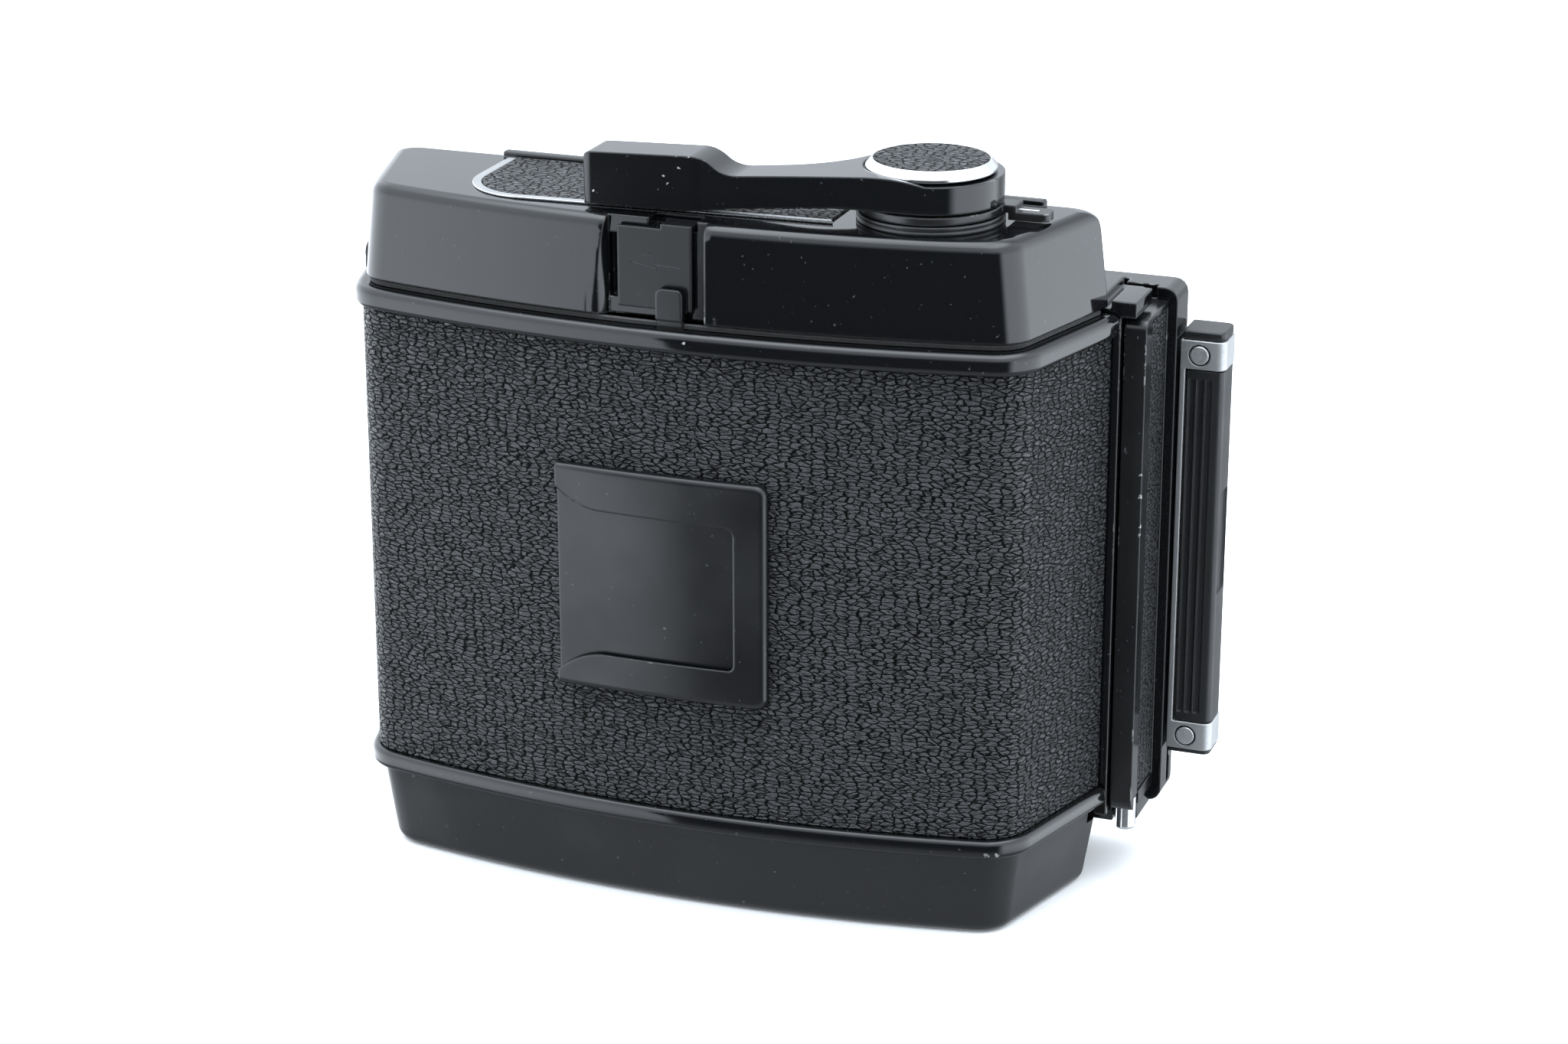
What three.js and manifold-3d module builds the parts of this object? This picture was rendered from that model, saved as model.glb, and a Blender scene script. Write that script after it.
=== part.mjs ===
// Roll-film holder for a medium-format camera, with its dark slide in place.
// Millimetres. +X is the side the dark slide pulls out of, +Y faces the lens, +Z is up.
// The origin is the middle of the flat base that the holder stands on.

import * as THREE from 'three';
import { mergeVertices } from 'three/addons/utils/BufferGeometryUtils.js';
import Module from 'manifold-3d';

const wasm = await Module();
wasm.setup();

// ---- Driving dimensions ----

const GAP = 0.3;                  // clearance between neighbouring pieces
const PARTING_Y = 12;             // parting plane of cover and frame, in front of the origin

// Plan outline of the covered shell, measured from the parting plane (its Y = 0).
const SHELL_HALF_WIDTH = 57.6;
const SHELL_DEPTH = 29.7;
const REAR_RADIUS = 220;
const CORNER_RADIUS = 6.7;
const SIDE_DRAFT = THREE.MathUtils.degToRad(15.7);

// Heights of the stack, from the base up.
const BASE_TOP = 13.9;
const LOWER_BEAD = [14.2, 16.4];
const UPPER_BEAD = [86.9, 90.2];
const CAP = [91.1, 105.6];
const DECK = [91.4, 92.9];

// Front plate and frame behind it.
const AXIS_Z = 49.9;              // optical axis height
const PLATE_HALF = [63.6, 40.85];
const PLATE_Y = [14, 20.2];
const FRAME_X = 58.7;
const FRAME_Y = [0.5, 13.7];
const FRAME_WALL = 2;
const GATE_HALF = [34.9, 28.2];

// Dark slide: sheet and handle.
const SLIDE_Y = 18.8;
const SHEET_HALF_HEIGHT = 30;
const SHEET_THICK = 0.8;
const SHEET_END_X = -42;
const HANDLE_X = [63.9, 70.7];
const HANDLE_HALF_DEPTH = 3.45;
const HANDLE_HALF_HEIGHT = 32.5;
const BAND_HEIGHT = 4.4;

// Winding mechanism: lever axis, idler axis and take-up spool axis.
const LEVER_AXIS = new THREE.Vector2(34.2, -13);
const IDLER_AXIS = new THREE.Vector2(19.2, -13);
const SPOOL_AXIS = new THREE.Vector2(34.2, -11.4);
const LEVER_TEETH = [24, 16];     // lever gear, idler pinion
const SPOOL_TEETH = [17, 23];     // spool gear, idler wheel
const UPPER_GEARS = [99, 101.5];
const LOWER_GEARS = [95, 97.5];
const HUB_RADIUS = 10.4;
const HUB_Z = [108.6, 112.6];

// Film transport.
const SPOOL_Z = [17.4, 82.4];
const FLANGE_RADIUS = 12;
const ROLLER_AT = [47.5, 6.2];
const ROLLER_RADIUS = 3.2;

// Cover hinge, along X.
const HINGE = new THREE.Vector2(0.9, 4.2);   // Y and Z
const HINGE_NOSE = 4.2;
const HINGE_LUG_X = 30;
const HEEL_RISE = 0.4;        // how far the heels open into the chamber
const CHEEK_X = 50.4;

// Memo holder on the rear face.
const MEMO_X = [-17, 15.8];
const MEMO_Z = [34.2, 68.7];

// Rear latch in its recess.
const RECESS_X = [-9.7, 5.8];
const LATCH_X = [-7.6, 3.7];
const TONGUE_X = [-1.4, 2.7];

// ---- Materials ----

function finish(color, roughness, metalness) {
  return new THREE.MeshStandardMaterial({ color, roughness, metalness });
}

const enamel = () => finish(0x0d0e10, 0.22, 0.1);
const leatherette = () => finish(0x222327, 0.6, 0);
const chrome = () => finish(0xd9dadc, 0.12, 1);
const satinSteel = () => finish(0xa9abae, 0.35, 1);
const brass = () => finish(0xb08d4f, 0.35, 1);
const matteBlack = () => finish(0x141414, 0.8, 0);
const castAlloy = () => finish(0x6d6f72, 0.5, 0.8);
const glass = () => finish(0xdfe6ea, 0.05, 0);
const paleDial = () => finish(0xe9e7df, 0.5, 0);

// ---- Solids ----

function toSolid(geometry) {
  const bare = geometry.clone();
  bare.deleteAttribute('normal');
  bare.deleteAttribute('uv');
  const merged = mergeVertices(bare, 1e-4);
  const index = merged.index.array;
  const triVerts = [];
  for (let i = 0; i < index.length; i += 3) {
    const [a, b, c] = index.subarray(i, i + 3);
    if (a !== b && b !== c && c !== a) triVerts.push(a, b, c);
  }
  return new wasm.Manifold(new wasm.Mesh({
    numProp: 3,
    vertProperties: new Float32Array(merged.attributes.position.array),
    triVerts: new Uint32Array(triVerts),
  }));
}

function toGeometry(solid) {
  const mesh = solid.getMesh();
  const geometry = new THREE.BufferGeometry();
  geometry.setAttribute('position', new THREE.BufferAttribute(mesh.vertProperties, 3));
  geometry.setIndex(new THREE.BufferAttribute(mesh.triVerts, 1));
  geometry.computeVertexNormals();
  return geometry;
}

function join(first, ...others) {
  return others.reduce((whole, other) => whole.add(other), first);
}

function cut(first, ...others) {
  return others.reduce((whole, other) => whole.subtract(other), first);
}

// Axes that an outline's x, y and extrusion run along, for each extrusion axis.
const EXTRUDE_BASIS = {
  x: [new THREE.Vector3(0, 1, 0), new THREE.Vector3(0, 0, 1), new THREE.Vector3(1, 0, 0)],
  y: [new THREE.Vector3(1, 0, 0), new THREE.Vector3(0, 0, 1), new THREE.Vector3(0, -1, 0)],
  z: [new THREE.Vector3(1, 0, 0), new THREE.Vector3(0, 1, 0), new THREE.Vector3(0, 0, 1)],
};

// An outline (YZ, XZ or XY) extruded along x, y or z between two coordinates.
function prism(points, axis, low, high) {
  const shape = Array.isArray(points) ? new THREE.Shape(points) : points;
  const geometry = new THREE.ExtrudeGeometry(shape, { depth: high - low, bevelEnabled: false });
  geometry.applyMatrix4(new THREE.Matrix4().makeBasis(...EXTRUDE_BASIS[axis]));
  const start = axis === 'y' ? high : low;
  geometry.translate(axis === 'x' ? start : 0, axis === 'y' ? start : 0, axis === 'z' ? start : 0);
  return toSolid(geometry);
}

function block(x, y, z) {
  const geometry = new THREE.BoxGeometry(x[1] - x[0], y[1] - y[0], z[1] - z[0]);
  geometry.translate((x[0] + x[1]) / 2, (y[0] + y[1]) / 2, (z[0] + z[1]) / 2);
  return toSolid(geometry);
}

// A round rod along x, y or z; at gives its two other coordinates in axis order.
function rod(axis, radius, at, low, high, segments = 24) {
  const geometry = new THREE.CylinderGeometry(radius, radius, high - low, segments);
  const middle = (low + high) / 2;
  if (axis === 'x') geometry.rotateZ(-Math.PI / 2).translate(middle, at[0], at[1]);
  if (axis === 'y') geometry.translate(at[0], middle, at[1]);
  if (axis === 'z') geometry.rotateX(Math.PI / 2).translate(at[0], at[1], middle);
  return toSolid(geometry);
}

// A turned solid about the vertical through at: profile points are (radius, height).
function turned(profile, at, segments = 40) {
  const points = profile.map(([radius, height]) => new THREE.Vector2(radius, height));
  const geometry = new THREE.LatheGeometry(points, segments);
  geometry.rotateX(Math.PI / 2).translate(at.x, at.y, 0);
  return toSolid(geometry);
}

// ---- Outlines ----

function arc(x, y, radius, from, to, steps) {
  const points = [];
  for (let i = 0; i <= steps; i += 1) {
    const angle = from + (to - from) * i / steps;
    points.push(new THREE.Vector2(x + radius * Math.cos(angle), y + radius * Math.sin(angle)));
  }
  return points;
}

function roundedRectangle(x, y, radius, steps = 4) {
  const quarter = Math.PI / 2;
  return [
    ...arc(x[1] - radius, y[0] + radius, radius, -quarter, 0, steps),
    ...arc(x[1] - radius, y[1] - radius, radius, 0, quarter, steps),
    ...arc(x[0] + radius, y[1] - radius, radius, quarter, 2 * quarter, steps),
    ...arc(x[0] + radius, y[0] + radius, radius, 2 * quarter, 3 * quarter, steps),
  ];
}

// Centre of the shell's rear corner arc, which touches the drafted side and the rear arc.
function cornerCentre() {
  const outward = new THREE.Vector2(Math.cos(SIDE_DRAFT), -Math.sin(SIDE_DRAFT));
  const rearward = new THREE.Vector2(-Math.sin(SIDE_DRAFT), -Math.cos(SIDE_DRAFT));
  const arcCentre = new THREE.Vector2(0, REAR_RADIUS - SHELL_DEPTH);
  const start = new THREE.Vector2(SHELL_HALF_WIDTH, 0).addScaledVector(outward, -CORNER_RADIUS);
  const offset = start.clone().sub(arcCentre);
  const along = offset.dot(rearward);
  const reach = (REAR_RADIUS - CORNER_RADIUS) ** 2 - offset.lengthSq();
  return start.addScaledVector(rearward, Math.sqrt(along * along + reach) - along);
}

// Right half of the shell outline, moved outward by offset, from the parting plane to the middle.
function halfOutline(offset, cornerSteps = 6, rearSteps = 8) {
  const corner = cornerCentre();
  const rearY = REAR_RADIUS - SHELL_DEPTH;
  const turn = Math.atan2(corner.y - rearY, corner.x);
  const frontX = SHELL_HALF_WIDTH + offset / Math.cos(SIDE_DRAFT);
  return [
    new THREE.Vector2(frontX, 0),
    ...arc(corner.x, corner.y, CORNER_RADIUS + offset, -SIDE_DRAFT, turn, cornerSteps),
    ...arc(0, rearY, REAR_RADIUS + offset, turn, -Math.PI / 2, rearSteps).slice(1),
  ];
}

// Whole outline. In front of the parting plane its sides run straight, to corners of frontRadius.
function shellOutline(offset, frontY, { steps = [6, 8], frontRadius = 0 } = {}) {
  const right = halfOutline(offset, ...steps);
  const frontX = right[0].x;
  if (frontRadius > 0) {
    const front = arc(frontX - frontRadius, frontY - frontRadius, frontRadius, Math.PI / 2, 0, 5);
    right.splice(0, frontRadius === frontY ? 1 : 0, ...front);
  } else if (frontY > 0) right.unshift(new THREE.Vector2(frontX, frontY));
  else right[0] = new THREE.Vector2(frontX + frontY * Math.tan(SIDE_DRAFT), frontY);
  const left = right.slice(0, -1).reverse().map((point) => new THREE.Vector2(-point.x, point.y));
  return [...right, ...left];
}

// A U-shaped wall that follows the shell between two offsets.
function shellBand(outer, inner, frontY, z) {
  return prism([...shellOutline(outer, frontY), ...shellOutline(inner, frontY).reverse()], 'z', ...z);
}

// A round-edged block on the shell outline: its rounded end is up or down, its other end is cut flat.
function roundedShellBlock(offset, frontY, z, radius, roundedTop) {
  const frontRadius = Math.min(frontY, 3);
  const shape = new THREE.Shape(shellOutline(offset, frontY, { frontRadius }));
  const spare = 2 * radius;
  const depth = z[1] - z[0] + spare - 2 * radius;
  const geometry = new THREE.ExtrudeGeometry(shape, {
    depth, bevelThickness: radius, bevelSize: radius, bevelOffset: -radius, bevelSegments: 3,
  });
  geometry.translate(0, 0, (roundedTop ? z[0] - spare : z[0]) + radius);
  return geometry;
}

// Narrows a geometry evenly between two heights: each side by insetX, rear and front by insetY.
function narrow(geometry, from, to, insetX, insetY) {
  const position = geometry.attributes.position;
  const middleY = -12;
  const halfDepth = 17;
  for (let i = 0; i < position.count; i += 1) {
    const share = (position.getZ(i) - from) / (to - from);
    const scaleX = 1 - insetX * share / SHELL_HALF_WIDTH;
    const scaleY = 1 - insetY * share / halfDepth;
    position.setX(i, position.getX(i) * scaleX);
    position.setY(i, middleY + (position.getY(i) - middleY) * scaleY);
  }
  return geometry;
}

// Straight-flanked gear teeth: one tooth points along toward.
function gearOutline(teeth, module, at, toward) {
  const pitch = 2 * Math.PI / teeth;
  const radius = module * teeth / 2;
  const root = radius - 1.15 * module;
  const tip = radius + 0.85 * module;
  const points = [];
  for (let i = 0; i < teeth; i += 1) {
    const middle = toward + i * pitch;
    for (const [r, share] of [[root, -0.32], [tip, -0.12], [tip, 0.12], [root, 0.32]]) {
      const angle = middle + share * pitch;
      points.push(new THREE.Vector2(at.x + r * Math.cos(angle), at.y + r * Math.sin(angle)));
    }
  }
  return points;
}

// ---- Assembly ----

const holder = new THREE.Group();
holder.position.y = PARTING_Y;

function bodyGroup() {
  const group = new THREE.Group();
  holder.add(group);
  return group;
}

function place(group, name, solid, material) {
  const mesh = new THREE.Mesh(toGeometry(solid), material);
  mesh.name = name;
  group.add(mesh);
}

// ---- Frame: chassis behind the front plate ----

const chassis = bodyGroup();
const gateZ = [AXIS_Z - GATE_HALF[1], AXIS_Z + GATE_HALF[1]];
const gateX = [-GATE_HALF[0], GATE_HALF[0]];
const frameZ = [AXIS_Z - PLATE_HALF[1], AXIS_Z + PLATE_HALF[1]];

function hingeLug(x) {
  const half = 3.6;
  const lug = join(
    rod('x', HINGE_NOSE - 1.3, HINGE.toArray(), x - half, x + half),
    block([x - half, x + half], [HINGE.x - 0.4, HINGE.x + 2.6], [HINGE.y, frameZ[0] + 1]),
  );
  return cut(lug, rod('x', 1.5, HINGE.toArray(), x - 5, x + 5));
}

function mainFrame() {
  const outer = block([-FRAME_X, FRAME_X], FRAME_Y, frameZ);
  const inner = block(
    [FRAME_WALL - FRAME_X, FRAME_X - FRAME_WALL],
    [FRAME_Y[0] - 1, FRAME_Y[1] - 2.5],
    [frameZ[0] + FRAME_WALL, frameZ[1] - FRAME_WALL],
  );
  const roofStep = block([-55.5, 55.5], [2.8, FRAME_Y[1]], [frameZ[1] - 0.5, 92]);
  const rails = [-1, 1].map((side) => {
    const middle = AXIS_Z + side * (GATE_HALF[1] + 1.2);
    return block([-50, 50], [FRAME_Y[1] - 3.1, FRAME_Y[1] - 2.3], [middle - 0.6, middle + 0.6]);
  });
  const corners = [-1, 1].flatMap((side) => {
    const upperX = [side * 57.2, side * 61].sort((a, b) => a - b);
    const lowerX = [side * 58, side * 62].sort((a, b) => a - b);
    return [
      block(upperX, [FRAME_Y[0], 9], [89.6, 92]),
      block(lowerX, [6.4, FRAME_Y[1]], [frameZ[0], frameZ[0] + 2.6]),
    ];
  });
  const lugs = [-HINGE_LUG_X, HINGE_LUG_X].map(hingeLug);
  const gate = block(gateX, [5, 15], gateZ);
  const heels = [-1, 1].map((side) => {
    const x = [side * 50, side * 70].sort((a, b) => a - b);
    return block(x, [-1, 4.4], [0, frameZ[0] + FRAME_WALL + HEEL_RISE]);
  });
  return cut(join(cut(outer, inner), roofStep, ...rails, ...corners, ...lugs), gate, ...heels);
}

place(chassis, 'main_frame', mainFrame(), enamel());

// ---- Front plate with its gate, light rib and dark-slide slot ----

const SCREW_AT = [[-55, 15.5], [55, 15.5], [-55, 84.3], [55, 84.3]];
const LOCK_PIN_AT = [[48, 85.4], [-48, 14.4]];
const slotZ = [AXIS_Z - SHEET_HALF_HEIGHT - 0.6, AXIS_Z + SHEET_HALF_HEIGHT + 0.6];

function frontPlate() {
  const [halfX, halfZ] = PLATE_HALF;
  const outline = roundedRectangle([-halfX, halfX], [AXIS_Z - halfZ, AXIS_Z + halfZ], 2);
  const ribOuter = roundedRectangle([-39, 39], [AXIS_Z - 34, AXIS_Z + 34], 2);
  const ribInner = roundedRectangle([-37.6, 37.6], [AXIS_Z - 32.6, AXIS_Z + 32.6], 1.5);
  const rib = cut(prism(ribOuter, 'y', 19.5, 21.2), prism(ribInner, 'y', 19, 22));
  const slot = block([SHEET_END_X - 1, 65], [SLIDE_Y - 0.8, SLIDE_Y + 0.8], slotZ);
  const trapPocket = block([58.5, 61.7], [16.6, SLIDE_Y], slotZ);
  const gate = block(gateX, [10, 25], gateZ);
  const rearSteps = [
    block([-60.4, 60.4], [13, 15.3], [88.6, 95]),
    block([-55.5, 55.5], [13, 17.4], [88.6, 95]),
  ];
  const screws = SCREW_AT.map((at) => rod('y', 2.5, at, 18, 25));
  const pins = LOCK_PIN_AT.map((at) => rod('y', 1.4, at, 10, 25));
  const lockSlots = [-1, 1].map((side) => {
    const x = [side * 59.4, side * 65].sort((a, b) => a - b);
    return block(x, [17.2, 18.8], [AXIS_Z - 39, AXIS_Z - 33]);
  });
  const plate = join(prism(outline, 'y', ...PLATE_Y), rib);
  return cut(plate, slot, trapPocket, gate, ...rearSteps, ...screws, ...pins, ...lockSlots);
}

place(chassis, 'front_plate', frontPlate(), enamel());

const trapZ = [slotZ[0] + GAP, slotZ[1] - GAP];
place(chassis, 'light_trap', block([58.8, 61.4], [16.9, SLIDE_Y - 0.7], trapZ), matteBlack());

function screwSolid(at) {
  const head = rod('y', 2.2, at, 18.3, 20.1, 20);
  return cut(head, block([at[0] - 2.4, at[0] + 2.4], [19.5, 21], [at[1] - 0.35, at[1] + 0.35]));
}

SCREW_AT.forEach((at, i) => place(chassis, `front_screw_${i + 1}`, screwSolid(at), satinSteel()));

// ---- Side panels, each with a covered strip and a round-ended steel pin ----

const PANEL_X = [59, 62.3];
const PANEL_Y = [1.5, 13.7];
const PANEL_Z = [12, 89];
const PIN_AT = [60.7, 4.4];

function sidePanel(side) {
  const x = PANEL_X.map((value) => side * value).sort((a, b) => a - b);
  const outline = [
    ...arc(PANEL_Y[0] + 1.6, PANEL_Z[0] + 1.6, 1.6, Math.PI, 1.5 * Math.PI, 4),
    new THREE.Vector2(PANEL_Y[1], PANEL_Z[0]),
    new THREE.Vector2(PANEL_Y[1], PANEL_Z[1]),
    ...arc(PANEL_Y[0] + 1.6, PANEL_Z[1] - 1.6, 1.6, 0.5 * Math.PI, Math.PI, 4),
  ];
  const outer = side * PANEL_X[1];
  const pocketX = [outer - side * 0.7, outer + side].sort((a, b) => a - b);
  const pocket = block(pocketX, [4.9, 13.3], [PANEL_Z[0] + 2, PANEL_Z[1] - 1]);
  const pinHole = rod('z', 2, [side * PIN_AT[0], PIN_AT[1]], 5, 13.9);
  const lugRelief = block([side * 60.5 - 2.5, side * 60.5 + 2.5], [6, 15], [5, frameZ[0] + 2.9]);
  return cut(prism(outline, 'x', ...x), pocket, pinHole, lugRelief);
}

function sideStrip(side) {
  const x = [side * 61.8, side * 62.15].sort((a, b) => a - b);
  return block(x, [5.1, 13.1], [PANEL_Z[0] + 2.2, PANEL_Z[1] - 1.2]);
}

function roundPin(side) {
  const radius = 1.7;
  const bottom = 8.4;
  const dome = arc(0, bottom + radius, radius, -Math.PI / 2, 0, 5).map((point) => point.toArray());
  const at = new THREE.Vector2(side * PIN_AT[0], PIN_AT[1]);
  return turned([...dome, [radius, 13.6], [0, 13.6]], at, 20);
}

for (const [side, label] of [[1, 'right'], [-1, 'left']]) {
  place(chassis, `side_panel_${label}`, sidePanel(side), enamel());
  place(chassis, `side_covering_${label}`, sideStrip(side), leatherette());
  place(chassis, `side_pin_${label}`, roundPin(side), chrome());
}

// ---- Top casting, its deck and its inlaid covering ----

const CAP_OFFSET = -0.7;
const CAP_FRONT = 2.3;
const COUNTER_AXIS = new THREE.Vector2(3, -10);
const WINDOW_AT = [8.2, -7];
const leverAt = LEVER_AXIS.toArray();
const spoolAt = SPOOL_AXIS.toArray();
const idlerAt = IDLER_AXIS.toArray();

// Everything outside a quarter round along the top casting's front top edge.
function frontTopCorner(radius) {
  const y = CAP_FRONT - radius;
  const z = CAP[1] - radius;
  return prism([
    ...arc(y, z, radius, 0, Math.PI / 2, 6),
    new THREE.Vector2(y, z + 2 * radius),
    new THREE.Vector2(y + 2 * radius, z + 2 * radius),
    new THREE.Vector2(y + 2 * radius, z),
  ], 'x', -70, 70);
}

function topCasting() {
  const geometry = roundedShellBlock(CAP_OFFSET, CAP_FRONT, CAP, 1.8, true);
  const outer = cut(
    toSolid(narrow(geometry, CAP[0], CAP[1], 1.7, 0.4)),
    block([-90, 90], [-60, 60], [CAP[0] - 20, CAP[0]]),
    frontTopCorner(3.3),
  );
  const inner = prism(shellOutline(CAP_OFFSET - 3, CAP_FRONT - 2.2), 'z', CAP[0] - 1, CAP[1] - 2);
  const backing = block([-12, 8], [-27.2, -24.4], [CAP[0], CAP[1] - 1]);
  const strip = block([-37, 47.5], [-1.9, -0.2], [CAP[1] - 1, CAP[1] + 0.9]);
  const recess = block(RECESS_X, [-35, -26.8], [CAP[0] - 1, CAP[1] + 1]);
  const leafNotch = block([-3.2, 4.2], [-27, -23.6], [CAP[1] - 1.5, CAP[1] + 1]);
  const shankSlot = block([-4.6, 2], [-28, -24], [97, 100.4]);
  const leverHole = rod('z', 3.1, leverAt, 100, 110);
  const windowHole = rod('z', 3.2, WINDOW_AT, 100, 110);
  return cut(join(cut(outer, inner), backing, strip), recess, leafNotch, shankSlot, leverHole, windowHole);
}

function topDeck() {
  const plate = prism(shellOutline(CAP_OFFSET - 3.4, CAP_FRONT - 2.6, { steps: [4, 4] }), 'z', ...DECK);
  const latchRelief = block([-13, 9], [-30, -24], [80, 100]);
  return cut(plate, rod('z', 2.8, spoolAt, 80, 100), latchRelief);
}

// D-shaped panel: round at its left, tapering to the lever, open along the front.
const INLAY_CORNER = { x: -25.4, y: -13.8, radius: 10.2 };
const INLAY_SLOPE = THREE.MathUtils.degToRad(3);

function inlayOutline(inset) {
  const { x, y, radius } = INLAY_CORNER;
  const r = radius - inset;
  const end = -Math.PI / 2 + INLAY_SLOPE;
  const startX = x + r * Math.cos(end);
  const startY = y + r * Math.sin(end);
  const endX = 22.4 - inset;
  return [
    new THREE.Vector2(-35.6 + inset, -2.4),
    ...arc(x, y, r, -Math.PI, end, 10),
    new THREE.Vector2(endX, startY + (endX - startX) * Math.tan(INLAY_SLOPE)),
    new THREE.Vector2(22.4 - inset, -2.4),
  ];
}

const TRIM_WIDTH = 1.8;

function topTrim() {
  const outer = prism(inlayOutline(0), 'z', CAP[1] + 0.02, CAP[1] + 0.38);
  const inner = prism(inlayOutline(TRIM_WIDTH), 'z', CAP[1] - 1, CAP[1] + 2);
  const openEnd = block([21.4, 30], [-30, 5], [CAP[1] - 1, CAP[1] + 2]);
  const openFront = block([-60, 60], [-3.2, 5], [CAP[1] - 1, CAP[1] + 2]);
  return cut(outer, inner, openEnd, openFront);
}

function topCovering() {
  const panel = prism(inlayOutline(TRIM_WIDTH + 0.15), 'z', CAP[1] + 0.02, CAP[1] + 0.32);
  const collarRelief = rod('z', HUB_RADIUS + 0.9, leverAt, 90, 120);
  const frontRelief = block([-60, 60], [-2.6, 5], [90, 120]);
  return cut(panel, collarRelief, frontRelief, rod('z', 4.5, WINDOW_AT, 90, 120));
}

place(chassis, 'top_casting', topCasting(), enamel());
place(chassis, 'top_deck', topDeck(), castAlloy());
place(chassis, 'top_trim', topTrim(), chrome());
place(chassis, 'top_covering', topCovering(), leatherette());

const collar = [
  [3.4, 105.65], [10.4, 105.65], [10.6, 105.9], [10.6, 106.7], [10.3, 106.9], [3.4, 106.9], [3.4, 105.65],
];
place(chassis, 'lever_collar', turned(collar, LEVER_AXIS), enamel());

const windowAxis = new THREE.Vector2(...WINDOW_AT);
const bezel = [[3.1, 105.65], [4.2, 105.65], [4.1, 105.9], [3.5, 106.05], [3.1, 106.05], [3.1, 105.65]];
place(chassis, 'counter_bezel', turned(bezel, windowAxis, 24), chrome());
place(chassis, 'counter_window', rod('z', 2.85, WINDOW_AT, 104.2, 105.7), glass());

// ---- Inner cassette that carries the spools ----

function cassetteFrame() {
  const inset = -4.4;
  const outline = shellOutline(inset, 8, { steps: [3, 3] });
  const lower = prism(outline, 'z', 14.8, 16.3);
  const upper = prism(outline, 'z', 84.2, 85.7);
  const web = block([-17, 17], [-4.5, -3], [15, 85]);
  const ribs = [-17, 17].map((x) => block([x - 0.8, x + 0.8], [-22, -3], [15, 85]));
  const driveHole = rod('z', 2.8, spoolAt, 80, 90);
  const holes = [-1, 1].map((side) => rod('z', 2.3, [side * SPOOL_AXIS.x, SPOOL_AXIS.y], 10, 20));
  const supplyHole = rod('z', 2.3, [-SPOOL_AXIS.x, SPOOL_AXIS.y], 80, 90);
  const rollers = [-1, 1].map((side) => rod('z', 1.5, [side * ROLLER_AT[0], ROLLER_AT[1]], 10, 90));
  return cut(join(lower, upper, web, ...ribs), driveHole, supplyHole, ...holes, ...rollers);
}

place(chassis, 'cassette_frame', cassetteFrame(), castAlloy());
place(chassis, 'idler_post', rod('z', 1.5, idlerAt, DECK[1] + 0.05, 102.6, 16), satinSteel());

// ---- Rear cover: shell, covering, memo holder, catch tongue, base and hinge pin ----

const cover = bodyGroup();
const COVER_FRONT = -0.2;

function rearCover() {
  const wall = shellBand(-1, -2.3, COVER_FRONT, [LOWER_BEAD[0], UPPER_BEAD[1]]);
  const beads = [LOWER_BEAD, UPPER_BEAD].map((z) => beadBand(z));
  const tongueSlot = block([TONGUE_X[0] - 0.4, TONGUE_X[1] + 0.4], [-29.8, -27.9], [85, 92]);
  return cut(join(wall, ...beads), tongueSlot);
}

// A bead with round upper and lower edges, standing proud of the covering.
function beadBand([low, high]) {
  const proud = 1.1;
  const chamfer = 0.6;
  const middle = shellBand(proud, -2, COVER_FRONT, [low + chamfer, high - chamfer]);
  const ends = shellBand(proud - chamfer, -2, COVER_FRONT, [low, high]);
  return join(middle, ends);
}

place(cover, 'rear_cover', rearCover(), enamel());
const coveringZ = [LOWER_BEAD[1] + 0.1, UPPER_BEAD[0] - 0.1];
place(cover, 'rear_covering', shellBand(0, -0.85, COVER_FRONT, coveringZ), leatherette());

// A curved sheet just outside the rear face, cut to an XZ outline.
function rearSheet(outline, inner, outer) {
  return shellBand(outer, inner, COVER_FRONT, [20, 85]).intersect(prism(outline, 'y', -40, -20));
}

const memoOutline = roundedRectangle(MEMO_X, MEMO_Z, 1.2, 3);
place(cover, 'memo_plate', rearSheet(memoOutline, 0.1, 0.6), enamel());

// C-shaped frame, open at the left, whose arms sweep away from each other at their ends.
function memoFrame() {
  const shape = new THREE.Shape(memoOutline);
  const sheet = rearSheet(shape, 0.9, 1.5);
  const left = MEMO_X[0] - 2;
  const innerX = MEMO_X[1] - 5;
  const upper = 61.7;
  const lower = 39.7;
  const window = new THREE.Shape();
  window.moveTo(left, lower - 2.8);
  window.quadraticCurveTo(left + 5, lower - 1.6, left + 9, lower - 0.2);
  window.lineTo(innerX - 1, lower);
  window.quadraticCurveTo(innerX, lower, innerX, lower + 1);
  window.lineTo(innerX, upper - 1);
  window.quadraticCurveTo(innerX, upper, innerX - 1, upper);
  window.lineTo(left + 9, upper + 0.2);
  window.quadraticCurveTo(left + 5, upper + 1.6, left, upper + 2.8);
  return cut(sheet, prism(new THREE.Shape(window.getPoints(4)), 'y', -40, -20));
}

place(cover, 'memo_frame', memoFrame(), enamel());

const tongueOutline = roundedRectangle(TONGUE_X, [87.4, 96], 0.9, 3);
place(cover, 'catch_tongue', prism(tongueOutline, 'y', -29.3, -28.5), enamel());

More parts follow.
